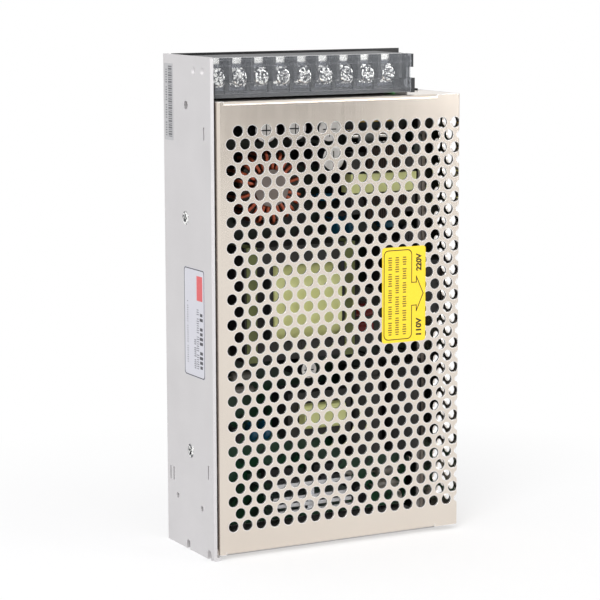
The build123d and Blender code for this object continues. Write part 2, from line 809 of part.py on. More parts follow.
def core_tape():
    """A turn of tape round each end of the core."""
    bands = []
    for x0 in (trafo_x0 + tape_inset, trafo_x1 - tape_inset - tape_w):
        d0, d1 = trafo_core_front, trafo_core_front + trafo_core_t
        outside = box(x0, x0 + tape_w, d0 - tape_t, d1 + tape_t, trafo_z0 - tape_t, trafo_z1 + tape_t)
        inside = box(x0 - 1, x0 + tape_w + 1, d0, d1, trafo_z0, trafo_z1)
        bands.append(outside.cut(inside))
    return bands


# Line filter choke, a rectangular ring with two windings and a tape across
filter_x = 84.5
filter_top_gap = 53.0
filter_w = 30.0
filter_h = 25.0
filter_leg = 5.5
filter_core_t = 7.0
filter_front = 14.0
filter_coil_t = 3.0
filter_tape_h = 8.0
filter_base_t = 2.0
filter_z = case_h - filter_top_gap
filter_coil_w = filter_w - 2 * filter_leg - 1.0
filter_pins = [(filter_x + sx * 9.0, filter_z + sz * 9.5) for sx in (-1, 1) for sz in (-1, 1)]


def filter_core():
    hw, hh = filter_w / 2, filter_h / 2
    d1 = filter_front + filter_core_t
    ring = box(filter_x - hw, filter_x + hw, filter_front, d1, filter_z - hh, filter_z + hh)
    inner_w, inner_h = hw - filter_leg, hh - filter_leg
    return ring.cut(
        box(filter_x - inner_w, filter_x + inner_w, filter_front - 1, d1 + 1, filter_z - inner_h, filter_z + inner_h)
    )


def filter_windings():
    coils = []
    wall = filter_coil_t
    half_w = filter_coil_w / 2
    d0, d1 = filter_front - wall, filter_front + filter_core_t + wall
    for side in (-1, 1):
        z = filter_z + side * (filter_h / 2 - filter_leg / 2)
        half = filter_leg / 2 + part_gap
        outside = box(filter_x - half_w, filter_x + half_w, d0, d1, z - half - wall, z + half + wall)
        outside = fillet(outside.edges().filter_by(Axis.X), 2.4)
        hole = box(filter_x - 40, filter_x + 40, d0 + wall - part_gap, d1 - wall + part_gap, z - half, z + half)
        coils.append(outside.cut(hole))
    return coils


def filter_tape():
    """The yellow band that runs across the ring, between the two windings."""
    hw = filter_w / 2
    d0, d1 = filter_front, filter_front + filter_core_t
    strip = 0.4
    half = min(filter_tape_h, filter_h - 2 * filter_leg - 2 * filter_coil_t - 2 * part_gap) / 2
    outside = box(filter_x - hw - strip, filter_x + hw + strip, d0 - strip, d1 + strip, filter_z - half, filter_z + half)
    inside = box(filter_x - hw, filter_x + hw, d0, d1, filter_z - half - 1, filter_z + half + 1)
    return outside.cut(inside)


def filter_base():
    """Plastic carrier between the ring and the board."""
    d1 = board_face
    d0 = filter_front + filter_core_t + filter_coil_t
    slab = box(filter_x - 14.0, filter_x + 14.0, d1 - filter_base_t, d1, filter_z - 12.0, filter_z + 12.0)
    posts = []
    for side in (-1, 1):
        x = filter_x + side * (filter_w / 2 - filter_leg / 2)
        posts.append(box(x - 1.2, x + 1.2, filter_front + filter_core_t + 0.4, d1, filter_z - 3, filter_z + 3))
        posts.append(box(x - 1.2, x + 1.2, filter_front + filter_core_t, d1, filter_z + 6.5, filter_z + 10))
        posts.append(box(x - 1.2, x + 1.2, filter_front + filter_core_t, d1, filter_z - 10, filter_z - 6.5))
    bed = box(filter_x - 6.0, filter_x + 6.0, d0, d1, filter_z - 11.0, filter_z + 11.0)
    return slab.fuse(*posts, bed, *pin_rods(filter_pins))


# Driver transformer
driver_x = 56.5
driver_z = 51.0
driver_w = 29.0
driver_h = 19.0
driver_core_t = 8.0
driver_core_front = 17.0
driver_leg = 4.5
driver_coil_w = 19.0
driver_coil_front = 12.0
driver_pins = [(driver_x + side * 10.5, driver_z + k * 4.0) for side in (-1, 1) for k in (-1, 0, 1)]


def driver_core():
    d1 = driver_core_front + driver_core_t
    hw, hh = driver_w / 2, driver_h / 2
    ring = box(driver_x - hw, driver_x + hw, driver_core_front, d1, driver_z - hh, driver_z + hh)
    wide = driver_coil_w / 2 + 0.2
    high = hh - driver_leg
    windows = [
        box(driver_x - wide, driver_x + wide, driver_core_front - 1, d1 + 1, driver_z + 2.5, driver_z + high),
        box(driver_x - wide, driver_x + wide, driver_core_front - 1, d1 + 1, driver_z - high, driver_z - 2.5),
    ]
    return ring.cut(*windows)


def driver_coil():
    half_w = driver_coil_w / 2
    high = driver_h / 2 - driver_leg - part_gap
    body = box(
        driver_x - half_w, driver_x + half_w, driver_coil_front, board_face - 2.0, driver_z - high, driver_z + high
    )
    body = fillet(body.edges().filter_by(Axis.X), 1.6)
    d1 = driver_core_front + driver_core_t
    return body.cut(
        box(driver_x - 30, driver_x + 30, driver_core_front - part_gap, d1 + part_gap, driver_z - 2.65, driver_z + 2.65)
    )


def driver_base():
    hw, hh = driver_w / 2, driver_h / 2
    base = box(driver_x - hw + 2, driver_x + hw - 2, board_face - 2.0, board_face, driver_z - hh, driver_z + hh)
    ends = [
        box(*sorted((driver_x + s * (hw - 2), driver_x + s * (driver_coil_w / 2 + 0.4))),
            driver_core_front + driver_core_t, board_face, driver_z - hh, driver_z + hh)
        for s in (-1, 1)
    ]
    return base.fuse(*ends, *pin_rods(driver_pins))


# Primary heat sink with two transistors on its flat back
sink_x0 = 31.5
sink_x1 = 67.5
sink_z0 = 12.6
sink_front = 10.0
sink_base = 2.6
sink_fin = 1.5
sink_fins = 4
sink_depth_z = 12.6
sink_foot = 2.0


def primary_heatsink():
    """Extruded heat sink: a plate with fins that run from front to back, on two feet."""
    z1 = sink_z0 + sink_depth_z
    plate = box(sink_x0, sink_x1, sink_front, board_face - sink_foot, z1 - sink_base, z1)
    fins = []
    span = sink_depth_z - sink_base - sink_fin
    for i in range(sink_fins - 1):
        z = sink_z0 + i * span / (sink_fins - 1)
        fins.append(box(sink_x0, sink_x1, sink_front, sink_front + 9.0, z, z + sink_fin))
    web = box((sink_x0 + sink_x1) / 2 - 1.5, (sink_x0 + sink_x1) / 2 + 1.5, sink_front + 1.5, board_face - 8.0, sink_z0, z1)
    feet = [rod_back(x, z1 - sink_base / 2, 1.0, board_face - sink_foot, board_face) for x in (sink_x0 + 4, sink_x1 - 4)]
    return plate.fuse(*fins, web, *feet)


sink_device_x = [sink_x0 + 8.0, sink_x1 - 8.0]
sink_device_pins = [(x + k * 2.54, sink_z0 + sink_depth_z + 2.4) for x in sink_device_x for k in (-1, 0, 1)]


def sink_devices():
    solids = []
    z0 = sink_z0 + sink_depth_z
    for x in sink_device_x:
        tab = box(x - 5.0, x + 5.0, 12.0, 27.0, z0, z0 + 1.3)
        body = box(x - 5.0, x + 5.0, 18.0, 27.0, z0 + 1.3, z0 + 4.5)
        leads = [rod_back(x + k * 2.54, z0 + 2.4, pin_r, 27.0, board_back + pin_tail) for k in (-1, 0, 1)]
        hole = Solid.make_cylinder(1.8, 3.0, Plane(place(x, 15.0, z0 - 1)))
        solids.append(tab.fuse(body, *leads).cut(hole))
    return solids


# Round capacitors: x, z, radius and height above the board
output_caps = [(28.2, 168.6, 5.0, 27.5), (41.1, 168.9, 5.0, 27.5), (56.4, 168.0, 5.0, 27.5), (58.2, 156.3, 5.0, 27.5)]
small_caps = [(13.0, 170.0, 4.0, 12.0), (14.0, 30.0, 4.0, 12.0), (22.0, 44.0, 3.1, 11.0), (80.0, 13.5, 4.0, 12.0),
              (102.0, 122.0, 4.0, 12.0), (13.0, 86.0, 3.1, 11.0), (46.9, 71.6, 3.6, 27.5)]
cap_groove = 1.0
lead_pitch = 2.5


def cap_pins(caps):
    return [(x + side * lead_pitch, z) for x, z, radius, height in caps for side in (-1, 1)]


def standing_capacitors(caps):
    """Sleeved cans on end, with a rolled groove near the board and a vent cross in the top."""
    solids = []
    for x, z, radius, height in caps:
        top = board_face - height
        can = rod_back(x, z, radius, top, board_face)
        can = fillet(can.edges().sort_by(Axis.Y)[:1], 0.7)
        ring = rod_back(x, z, radius + 1, board_face - 3.6, board_face - 2.8)
        ring = ring.cut(rod_back(x, z, radius - 0.4, board_face - 4, board_face - 2))
        reach = radius * 0.6
        vent = [
            box(x - reach, x + reach, top - 1, top + 0.3, z - 0.25, z + 0.25),
            box(x - 0.25, x + 0.25, top - 1, top + 0.3, z - reach, z + reach),
        ]
        can = can.cut(ring, *vent)
        solids.append(can.fuse(*[rod_back(x + s * lead_pitch, z, pin_r, board_face, board_back + pin_tail) for s in (-1, 1)]))
    return solids


# Bulk capacitors, lying side by side with their leads bent down
bulk_r = 9.0
bulk_len = 38.0
bulk_low = 31.0
bulk_places = [80.9, 99.9]
bulk_lift = 0.3
bulk_pins = [(x + side * 4.0, bulk_low + bulk_len + 3.0) for x in bulk_places for side in (-1, 1)]


def bulk_capacitors():
    solids = []
    depth = board_face - bulk_lift - bulk_r
    for x in bulk_places:
        can = rod_up(x, depth, bulk_r, bulk_low, bulk_low + bulk_len)
        can = fillet(can.edges(), 1.2)
        ring = rod_up(x, depth, bulk_r + 1, bulk_low + bulk_len - 4.6, bulk_low + bulk_len - 3.4)
        ring = ring.cut(rod_up(x, depth, bulk_r - 0.6, bulk_low + bulk_len - 5, bulk_low + bulk_len - 3))
        leads = []
        for side in (-1, 1):
            lead_x = x + side * 4.0
            leads.append(rod_up(lead_x, depth, wire_r, bulk_low + bulk_len - 1, bulk_low + bulk_len + 3.0))
            leads.append(rod_back(lead_x, bulk_low + bulk_len + 3.0, pin_r, depth, board_back + pin_tail))
        solids.append(can.cut(ring).fuse(*leads))
    return solids


def capacitor_glue():
    """A bead of white silicone that seats the two lying cans on the board."""
    bead = box(bulk_places[0] - 3, bulk_places[1] + 3, board_face - 3.5, board_face, bulk_low + 8, bulk_low + 14)
    depth = board_face - bulk_lift - bulk_r
    return bead.cut(*[rod_up(x, depth, bulk_r, bulk_low - 1, bulk_low + bulk_len + 1) for x in bulk_places])


# Disc capacitors standing on edge: x, z, radius and whether the disc lies along X or Z
discs = [(65.0, 139.0, 4.5, "x"), (70.0, 126.8, 4.0, "z"), (75.5, 126.8, 4.0, "z"), (93.5, 126.5, 4.5, "x"),
         (75.8, 74.6, 4.2, "x"), (30.5, 44.5, 4.0, "z"), (36.5, 44.5, 4.0, "z")]
disc_t = 3.2
disc_legs = 4.0


def disc_pins():
    pins = []
    for x, z, radius, way in discs:
        for side in (-1, 1):
            reach = side * lead_pitch
            pins.append((x + reach, z) if way == "x" else (x, z + reach))
    return pins


def disc_capacitors():
    solids = []
    pins = disc_pins()
    for index, (x, z, radius, way) in enumerate(discs):
        depth = board_face - disc_legs - radius
        if way == "x":
            body = Solid.make_cylinder(radius, disc_t, Plane(place(x, depth, z - disc_t / 2), z_dir=(0, 0, 1)))
        else:
            body = rod_across(depth, z, radius, x - disc_t / 2, x + disc_t / 2)
        body = fillet(body.edges().filter_by(GeomType.CIRCLE), 1.2)
        solids.append(body.fuse(*pin_rods(pins[2 * index : 2 * index + 2], depth)))
    return solids


# Dipped film capacitors and the line capacitor: x, z, width, height, thickness towards the front
films = [(79.5, 91.5, 11.0, 5.5), (79.5, 84.0, 11.0, 5.5)]
film_cap_h = 13.0
film_pins = [(x + side * 3.75, z) for x, z, w, h in films for side in (-1, 1)]
line_cap = (86.0, 173.5, 20.0, 8.5, 15.0)
line_cap_pins = [(line_cap[0] + side * 7.5, line_cap[1]) for side in (-1, 1)]


def film_capacitors():
    solids = []
    for index, (x, z, w, h) in enumerate(films):
        low = board_face - 1.5
        body = box(x - w / 2, x + w / 2, low - film_cap_h, low, z - h / 2, z + h / 2)
        body = fillet(body.edges(), 1.8)
        solids.append(body.fuse(*pin_rods(film_pins[2 * index : 2 * index + 2], low - 2)))
    return solids


def line_capacitor():
    x, z, w, h, tall = line_cap
    body = box(x - w / 2, x + w / 2, board_face - tall, board_face, z - h / 2, z + h / 2)
    body = fillet(body.edges().filter_by(Axis.Y), 0.8)
    return body.fuse(*pin_rods(line_cap_pins))


# Fuse in two clips
fuse_x = 84.0
fuse_z = 163.0
fuse_r = 2.6
fuse_len = 20.0
fuse_cap = 5.0
fuse_depth = 27.5
clip_t = 0.5
clip_w = 4.4
fuse_pins = [(fuse_x + side * (fuse_len / 2 - fuse_cap / 2), fuse_z) for side in (-1, 1)]


def fuse_link():
    """Glass tube with a metal cap on each end, as one sealed piece."""
    glass = rod_across(fuse_depth, fuse_z, fuse_r - 0.2, fuse_x - fuse_len / 2 + 1, fuse_x + fuse_len / 2 - 1)
    x0, x1 = fuse_x - fuse_len / 2, fuse_x + fuse_len / 2
    caps = [
        rod_across(fuse_depth, fuse_z, fuse_r, x0, x0 + fuse_cap),
        rod_across(fuse_depth, fuse_z, fuse_r, x1 - fuse_cap, x1),
    ]
    return glass.fuse(*caps)


def fuse_clips():
    solids = []
    for x, z in fuse_pins:
        outer = fuse_r + part_gap / 3 + clip_t
        cup = rod_across(fuse_depth, z, outer, x - clip_w / 2, x + clip_w / 2)
        cup = cup.cut(
            rod_across(fuse_depth, z, fuse_r + part_gap / 3, x - clip_w, x + clip_w),
            box(x - clip_w, x + clip_w, fuse_depth - outer - 1, fuse_depth - 1.2, z - outer - 1, z + outer + 1),
        )
        foot = box(x - clip_w / 2, x + clip_w / 2, fuse_depth + outer - 0.3, board_face, z - 2.0, z + 2.0)
        solids.append(cup.fuse(foot, rod_back(x, z, pin_r, board_face - 1, board_back + pin_tail)))
    return solids


# Bridge rectifier, thermistor, controller chip and resistors
bridge = (89.5, 110.0, 5.5, 21.0, 15.0)
bridge_pins = [(bridge[0], bridge[1] + k * 5.0) for k in (-1.5, -0.5, 0.5, 1.5)]
thermistor = (103.8, 160.0, 6.5, 5.0)
thermistor_pins = [(thermistor[0], thermistor[1] + side * 3.75) for side in (-1, 1)]
chip = (17.0, 62.0, 6.4, 19.5, 3.4)
chip_pins = [(chip[0] + side * 3.8, chip[1] + k * 2.54) for side in (-1, 1) for k in (-3, -2, -1, 0, 1, 2, 3)]
resistors = [(29.2, 60.5), (29.2, 66.5), (97.0, 14.0), (97.0, 20.0), (75.0, 20.5)]
resistor_r = 2.0
resistor_len = 10.0
resistor_pins = [(x + side * (resistor_len / 2 + 1.5), z) for x, z in resistors for side in (-1, 1)]


def bridge_rectifier():
    x, z, w, h, tall = bridge
    low = board_face - 3.0
    body = box(x - w / 2, x + w / 2, low - tall, low, z - h / 2, z + h / 2)
    corner = body.edges().filter_by(Axis.X).sort_by(lambda e: e.center().Z - e.center().Y)[-1:]
    body = chamfer(corner, 3.0)
    return body.fuse(*pin_rods(bridge_pins, low))


def inrush_thermistor():
    x, z, radius, t = thermistor
    depth = board_face - disc_legs - radius
    body = rod_across(depth, z, radius, x - t / 2, x + t / 2)
    body = fillet(body.edges().filter_by(GeomType.CIRCLE), 1.5)
    return body.fuse(*pin_rods(thermistor_pins, depth))


def controller_chip():
    x, z, w, h, t = chip
    low = board_face - 0.5
    body = box(x - w / 2, x + w / 2, low - t, low, z - h / 2, z + h / 2)
    legs = [
        box(*sorted((x + side * w / 2, x + side * (w / 2 + 0.9))), low - 1.9, low - 1.5, z + k * 2.54 - 0.5, z + k * 2.54 + 0.5)
        for side in (-1, 1)
        for k in (-3, -2, -1, 0, 1, 2, 3)
    ]
    return body.fuse(*legs, *pin_rods(chip_pins, low - 1.9))


def small_resistors():
    solids = []
    for index, (x, z) in enumerate(resistors):
        depth = board_face - resistor_r - 0.3
        body = rod_across(depth, z, resistor_r, x - resistor_len / 2, x + resistor_len / 2)
        body = fillet(body.edges().filter_by(GeomType.CIRCLE), 0.9)
        reach = resistor_len / 2 + 1.5
        wire = rod_across(depth, z, wire_r, x - reach, x + reach)
        solids.append(body.fuse(wire, *pin_rods(resistor_pins[2 * index : 2 * index + 2], depth)))
    return solids


# Voltage selector: a slide switch on the board whose slider faces the cover's side window
selector_face = case_w - cover_t - 0.3
selector_body_t = 9.5
selector_body_h = 22.0
selector_body_d = 12.0
slot_h = 13.0
slot_d = 5.6
slider_h = 7.6
slider_travel = 4.6
slider_t = 3.6
slider_clear = 0.3
selector_x0 = selector_face - selector_body_t
selector_pins = [(selector_x0 + 2.5, selector_z + k * 5.0) for k in (-1, 0, 1)]


def selector_body():
    d0, d1 = selector_depth - selector_body_d / 2, selector_depth + selector_body_d / 2
    z0, z1 = selector_z - selector_body_h / 2, selector_z + selector_body_h / 2
    shell = box(selector_x0, selector_face, d0, d1, z0, z1)
    foot = box(selector_x0, selector_x0 + 5.0, d1, board_face, z0 + 3, z1 - 3)
    slot = box(
        selector_face - slider_t - slider_clear,
        selector_face + 1,
        selector_depth - slot_d / 2,
        selector_depth + slot_d / 2,
        selector_z - slot_h / 2,
        selector_z + slot_h / 2,
    )
    return shell.fuse(foot, *pin_rods(selector_pins)).cut(slot)


def selector_slider():
    """The slider rests at the upper end of its slot and has a screwdriver groove."""
    z1 = selector_z + slot_h / 2 - slider_clear
    z0 = z1 - slider_h
    half = slot_d / 2 - slider_clear
    body = box(selector_face - slider_t, selector_face, selector_depth - half, selector_depth + half, z0, z1)
    groove_z = (z0 + z1) / 2
    groove = box(
        selector_face - 1.4, selector_face + 1, selector_depth - half - 1, selector_depth + half + 1,
        groove_z - 0.6, groove_z + 0.6,
    )
    return body.cut(groove)


# Output trimmer and power lamp, beside the right end of the terminal block
trimmer_x = 98.6
trimmer_down = 6.2
trimmer_w = 7.0
trimmer_t = 5.4
rotor_r = 2.4
rotor_t = 1.2
rotor_stem_r = 1.2
rotor_clear = 0.05
trimmer_z = case_h - trimmer_down
trimmer_front = board_face - trimmer_t
trimmer_pins = [(trimmer_x + dx, trimmer_z + dz) for dx, dz in ((-2.5, -2.5), (2.5, -2.5), (0, 2.5))]
lamp_down = 15.5
lamp_r = 1.5
lamp_t = 5.4
lamp_z = case_h - lamp_down
lamp_pins = [(trimmer_x + side * 1.27, lamp_z) for side in (-1, 1)]


def trimmer_body():
    half = trimmer_w / 2
    body = box(trimmer_x - half, trimmer_x + half, trimmer_front, board_face, trimmer_z - half, trimmer_z + half)
    well = rod_back(trimmer_x, trimmer_z, rotor_r + 0.3, trimmer_front - 1, trimmer_front + rotor_t + 0.3)
    bore = rod_back(trimmer_x, trimmer_z, rotor_stem_r + rotor_clear, trimmer_front, trimmer_front + 4.0)
    return body.cut(well, bore).fuse(*pin_rods(trimmer_pins))


def trimmer_rotor():
    disc = rod_back(trimmer_x, trimmer_z, rotor_r, trimmer_front, trimmer_front + rotor_t)
    stem = rod_back(trimmer_x, trimmer_z, rotor_stem_r, trimmer_front + rotor_t, trimmer_front + 3.8)
    slot = box(
        trimmer_x - 1.9, trimmer_x + 1.9, trimmer_front - 1, trimmer_front + 0.7, trimmer_z - 0.35, trimmer_z + 0.35
    )
    return disc.fuse(stem).cut(slot)


def power_lamp():
    """Small round lamp with a rim, on two leads."""
    low = board_face - 0.2
    top = board_face - lamp_t
    bulb = rod_back(trimmer_x, lamp_z, lamp_r, top + lamp_r, low)
    dome = Solid.make_sphere(lamp_r, Plane(place(trimmer_x, top + lamp_r, lamp_z)), angle1=-90, angle2=90)
    rim = rod_back(trimmer_x, lamp_z, lamp_r + 0.4, low - 1.0, low)
    return bulb.fuse(dome, rim, *pin_rods(lamp_pins, low - 0.5))


def circuit_board():
    x0 = wall_t + board_edge
    x1 = flange_x - wall_t - board_edge
    board = box(x0, x1, board_face, board_back, board_end, case_h - board_end + 1.0)
    pins = (
        terminal_pins + choke_pins + trafo_pins + filter_pins + driver_pins + sink_device_pins + cap_pins(output_caps)
        + cap_pins(small_caps) + bulk_pins + disc_pins() + film_pins + line_cap_pins + fuse_pins + bridge_pins
        + thermistor_pins + chip_pins + resistor_pins + selector_pins + trimmer_pins + lamp_pins + wall_device_pins()
    )
    screws = [rod_back(x, z, thread_r + 0.1, board_face - 1, board_back + 1) for x, z in standoff_places]
    return board.cut(*pin_holes(pins), *screws)


def label(area, on_wall):
    """A thin sticker, on the mesh face or on the left wall."""
    u0, u1, z0, z1 = area
    if on_wall:
        sheet = box(-label_t, 0, u0, u1, z0, z1)
        return fillet(sheet.edges().filter_by(Axis.X), 0.9)
    sheet = box(u0, u1, -label_t, 0, z0, z1)
    return fillet(sheet.edges().filter_by(Axis.Y), 0.9)


os.makedirs("parts", exist_ok=True)
save("chassis", chassis())
save("mesh_cover", mesh_cover())
save("cover_screws", *cover_screws())
save("wall_screws", *wall_screws())
save("wall_pads", *wall_pads())
save("wall_devices", *wall_devices())
save("clamp_bars", *clamp_bars())
save("wall_nuts", *wall_nuts())
save("standoffs", *standoffs())
save("board_screws", *board_screws())
save("insulation_sheet", insulation_sheet())
save("circuit_board", circuit_board())
save("terminal_block", terminal_block())
save("terminal_plates", *terminal_plates())
save("clamp_washers", *clamp_washers())
save("terminal_screws", *terminal_screws())
save("terminal_cover", terminal_cover())
save("choke_core", choke_core())
save("choke_winding", *choke_winding())
save("choke_foot", *choke_foot())
save("choke_clamp", choke_clamp())
save("transformer_core", *transformer_core())
save("transformer_bobbin", transformer_bobbin())
save("transformer_coil", transformer_coil())
save("core_tape", *core_tape())
save("filter_core", filter_core())
save("filter_windings", *filter_windings())
save("filter_tape", filter_tape())
save("filter_base", filter_base())
save("driver_core", driver_core())
save("driver_coil", driver_coil())
save("driver_base", driver_base())
save("primary_heatsink", primary_heatsink())
save("sink_devices", *sink_devices())
save("output_capacitors", *standing_capacitors(output_caps))
save("small_capacitors", *standing_capacitors(small_caps))
save("bulk_capacitors", *bulk_capacitors())
save("capacitor_glue", capacitor_glue())
save("disc_capacitors", *disc_capacitors())
save("film_capacitors", *film_capacitors())
save("line_capacitor", line_capacitor())
save("fuse", fuse_link())
save("fuse_clips", *fuse_clips())
save("bridge_rectifier", bridge_rectifier())
save("inrush_thermistor", inrush_thermistor())
save("controller_chip", controller_chip())
save("small_resistors", *small_resistors())
save("selector_body", selector_body())
save("selector_slider", selector_slider())
save("trimmer_body", trimmer_body())
save("trimmer_rotor", trimmer_rotor())
save("power_lamp", power_lamp())
save("voltage_label", label(voltage_label, False))
save("rating_label", label(rating_label, True))
save("bar_label", label(bar_label, True))
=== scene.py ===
import math

import bmesh
import bpy
from mathutils import Matrix, Vector


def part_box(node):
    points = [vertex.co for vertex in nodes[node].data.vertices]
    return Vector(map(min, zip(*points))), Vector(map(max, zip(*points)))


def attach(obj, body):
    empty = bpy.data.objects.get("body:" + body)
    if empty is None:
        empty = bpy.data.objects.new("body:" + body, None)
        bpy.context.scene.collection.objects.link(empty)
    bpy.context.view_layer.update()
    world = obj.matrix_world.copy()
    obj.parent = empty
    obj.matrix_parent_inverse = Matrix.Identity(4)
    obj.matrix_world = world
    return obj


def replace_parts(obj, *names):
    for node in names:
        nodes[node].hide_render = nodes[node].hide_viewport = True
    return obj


# A power supply in a folded aluminium case with a perforated, nickel-plated cover.
# Metres, in the CAD frame: X across the front, Y from the front to the back plate, Z up.

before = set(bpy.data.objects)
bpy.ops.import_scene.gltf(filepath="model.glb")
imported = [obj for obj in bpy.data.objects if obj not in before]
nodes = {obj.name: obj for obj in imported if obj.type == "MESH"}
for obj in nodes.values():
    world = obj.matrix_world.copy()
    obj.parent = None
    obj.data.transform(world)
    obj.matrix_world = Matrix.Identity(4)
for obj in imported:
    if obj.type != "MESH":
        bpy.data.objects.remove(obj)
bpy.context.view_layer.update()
MM = 0.001


def linear(colour):
    """An sRGB hex colour as the linear RGBA that the shaders work in."""
    parts = [int(colour[i : i + 2], 16) / 255 for i in (1, 3, 5)]
    return [c / 12.92 if c <= 0.04045 else ((c + 0.055) / 1.055) ** 2.4 for c in parts] + [1.0]


def add(tree, kind, settings=None, links=None):
    """Adds a shader node, with values for its properties or sockets and links into its sockets."""
    node = tree.nodes.new(kind)
    for key, value in (settings or {}).items():
        if isinstance(key, str) and hasattr(node, key):
            setattr(node, key, value)
        else:
            node.inputs[key].default_value = value
    for key, socket in (links or {}).items():
        tree.links.new(socket, node.inputs[key])
    return node


def blank(name):
    """A material and its node tree, with nothing in the tree yet."""
    material = bpy.data.materials.new(name)
    material.use_nodes = True
    material.node_tree.nodes.clear()
    return material, material.node_tree


def tones(dark, light):
    """Settings for a mix of two colours: sockets 6 and 7 take them, and output 2 gives the result."""
    return {"data_type": "RGBA", 6: linear(dark), 7: linear(light)}


def span(low, high, start=0.0, end=1.0):
    """Settings for a range that carries start..end to low..high."""
    return {"From Min": start, "From Max": end, "To Min": low, "To Max": high}


def speckle(tree, size_mm, detail=2.0, stretch=(1, 1, 1)):
    """Noise whose grains are about size_mm across, in the object's own coordinates."""
    place = add(tree, "ShaderNodeTexCoord").outputs["Object"]
    scale = [share / (size_mm * MM) for share in stretch]
    mapped = add(tree, "ShaderNodeMapping", {"Scale": scale}, {"Vector": place}).outputs[0]
    noise = add(tree, "ShaderNodeTexNoise", {"Scale": 1.0, "Detail": detail}, {"Vector": mapped})
    return noise.outputs["Fac"]


def relief(tree, height, depth_mm, rounded_mm=0.0):
    """Bump of a real depth, over edges that are rounded by rounded_mm where that isn't zero."""
    links = {"Height": height}
    if rounded_mm:
        rounded = add(tree, "ShaderNodeBevel", {"samples": 4, "Radius": rounded_mm * MM})
        links["Normal"] = rounded.outputs[0]
    bump = add(tree, "ShaderNodeBump", {"Distance": depth_mm * MM, "Strength": 1.0}, links)
    return bump.outputs[0]


def mill_aluminium():
    """Aluminium sheet with an etched, unpolished face: even pale grey, no clear reflection."""
    material, tree = blank("etched_aluminium_sheet")
    cloud = speckle(tree, size_mm=22.0)
    grain = speckle(tree, size_mm=0.35, detail=3.0)
    colour = add(tree, "ShaderNodeMix", tones("#CDCBCC", "#D7D5D6"), {"Factor": cloud})
    rough = add(tree, "ShaderNodeMapRange", span(0.5, 0.62), {"Value": grain})
    normal = relief(tree, grain, depth_mm=0.006, rounded_mm=0.25)
    links = {"Base Color": colour.outputs[2], "Roughness": rough.outputs[0], "Normal": normal}
    shader = add(tree, "ShaderNodeBsdfPrincipled", {"Metallic": 0.7}, links)
    add(tree, "ShaderNodeOutputMaterial", links={"Surface": shader.outputs[0]})
    return material


def bright_nickel():
    """Nickel-plated steel sheet: a warm, almost mirror-like face, faint rolling, and a painted white
    highlight round every cut edge.
    """
    material, tree = blank("bright_nickel_plated_steel")
    cloud = speckle(tree, size_mm=35.0)
    rolled = speckle(tree, size_mm=0.5, stretch=(1, 1, 0.04))
    # Close to a cut edge the rounded direction leaves the flat one.
    rounded = add(tree, "ShaderNodeBevel", {"samples": 6, "Radius": 0.5 * MM}).outputs[0]
    flat = add(tree, "ShaderNodeNewGeometry").outputs["Normal"]
    match = add(tree, "ShaderNodeVectorMath", {"operation": "DOT_PRODUCT"}, {0: rounded, 1: flat})
    rim_highlight_span = span(1.0, 0.0, start=0.9, end=0.998)
    painted_rim_highlight = add(tree, "ShaderNodeMapRange", rim_highlight_span, {"Value": match.outputs["Value"]}).outputs[0]
    face = add(tree, "ShaderNodeMix", tones("#DCD1C6", "#E5DCD1"), {"Factor": cloud}).outputs[2]
    # Near each cut edge the colour turns white and less metallic: a painted highlight, not the steel's own
    # colour.
    rim_highlight_white = {"data_type": "RGBA", 7: linear("#FFFFFF")}
    colour = add(tree, "ShaderNodeMix", rim_highlight_white, {"Factor": painted_rim_highlight, 6: face})
    metal = add(tree, "ShaderNodeMapRange", span(1.0, 0.3), {"Value": painted_rim_highlight})
    rough = add(tree, "ShaderNodeMapRange", span(0.16, 0.24), {"Value": rolled})
    links = {
        "Base Color": colour.outputs[2],
        "Metallic": metal.outputs[0],
        "Roughness": rough.outputs[0],
        "Normal": relief(tree, rolled, depth_mm=0.002, rounded_mm=0.22),
    }
    shader = add(tree, "ShaderNodeBsdfPrincipled", links=links)
    add(tree, "ShaderNodeOutputMaterial", links={"Surface": shader.outputs[0]})
    return material


def small_metal(name, dark, light, rough):
    """A small stamped or turned metal piece, plated or bare: glossy, slightly uneven."""
    material, tree = blank(name)
    cloud = speckle(tree, size_mm=1.6)
    colour = add(tree, "ShaderNodeMix", tones(dark, light), {"Factor": cloud})
    uneven = add(tree, "ShaderNodeMapRange", span(*rough), {"Value": cloud})
    normal = relief(tree, cloud, depth_mm=0.02, rounded_mm=0.12)
    links = {"Base Color": colour.outputs[2], "Roughness": uneven.outputs[0], "Normal": normal}
    shader = add(tree, "ShaderNodeBsdfPrincipled", {"Metallic": 1.0}, links)
    add(tree, "ShaderNodeOutputMaterial", links={"Surface": shader.outputs[0]})
    return material


def zinc_with_painted_reflections(name, grain_mm):
    """Bright zinc on small turned and stamped pieces, with painted reflections: dark and bright patches side
    by side in its colour.
    """
    material, tree = blank(name)
    cloud = speckle(tree, grain_mm, detail=1.0)
    # Dark and bright patches in the base colour are painted reflections and glints.
    painted_reflections = add(tree, "ShaderNodeMapRange", span(0.0, 1.0, start=0.42, end=0.56), {"Value": cloud})
    colour = add(tree, "ShaderNodeMix", tones("#3E4046", "#FAFAF8"), {"Factor": painted_reflections.outputs[0]})
    rough = add(tree, "ShaderNodeMapRange", span(0.1, 0.22), {"Value": cloud})
    normal = relief(tree, cloud, depth_mm=0.12, rounded_mm=0.15)
    links = {"Base Color": colour.outputs[2], "Roughness": rough.outputs[0], "Normal": normal}
    shader = add(tree, "ShaderNodeBsdfPrincipled", {"Metallic": 1.0}, links)
    add(tree, "ShaderNodeOutputMaterial", links={"Surface": shader.outputs[0]})
    return material


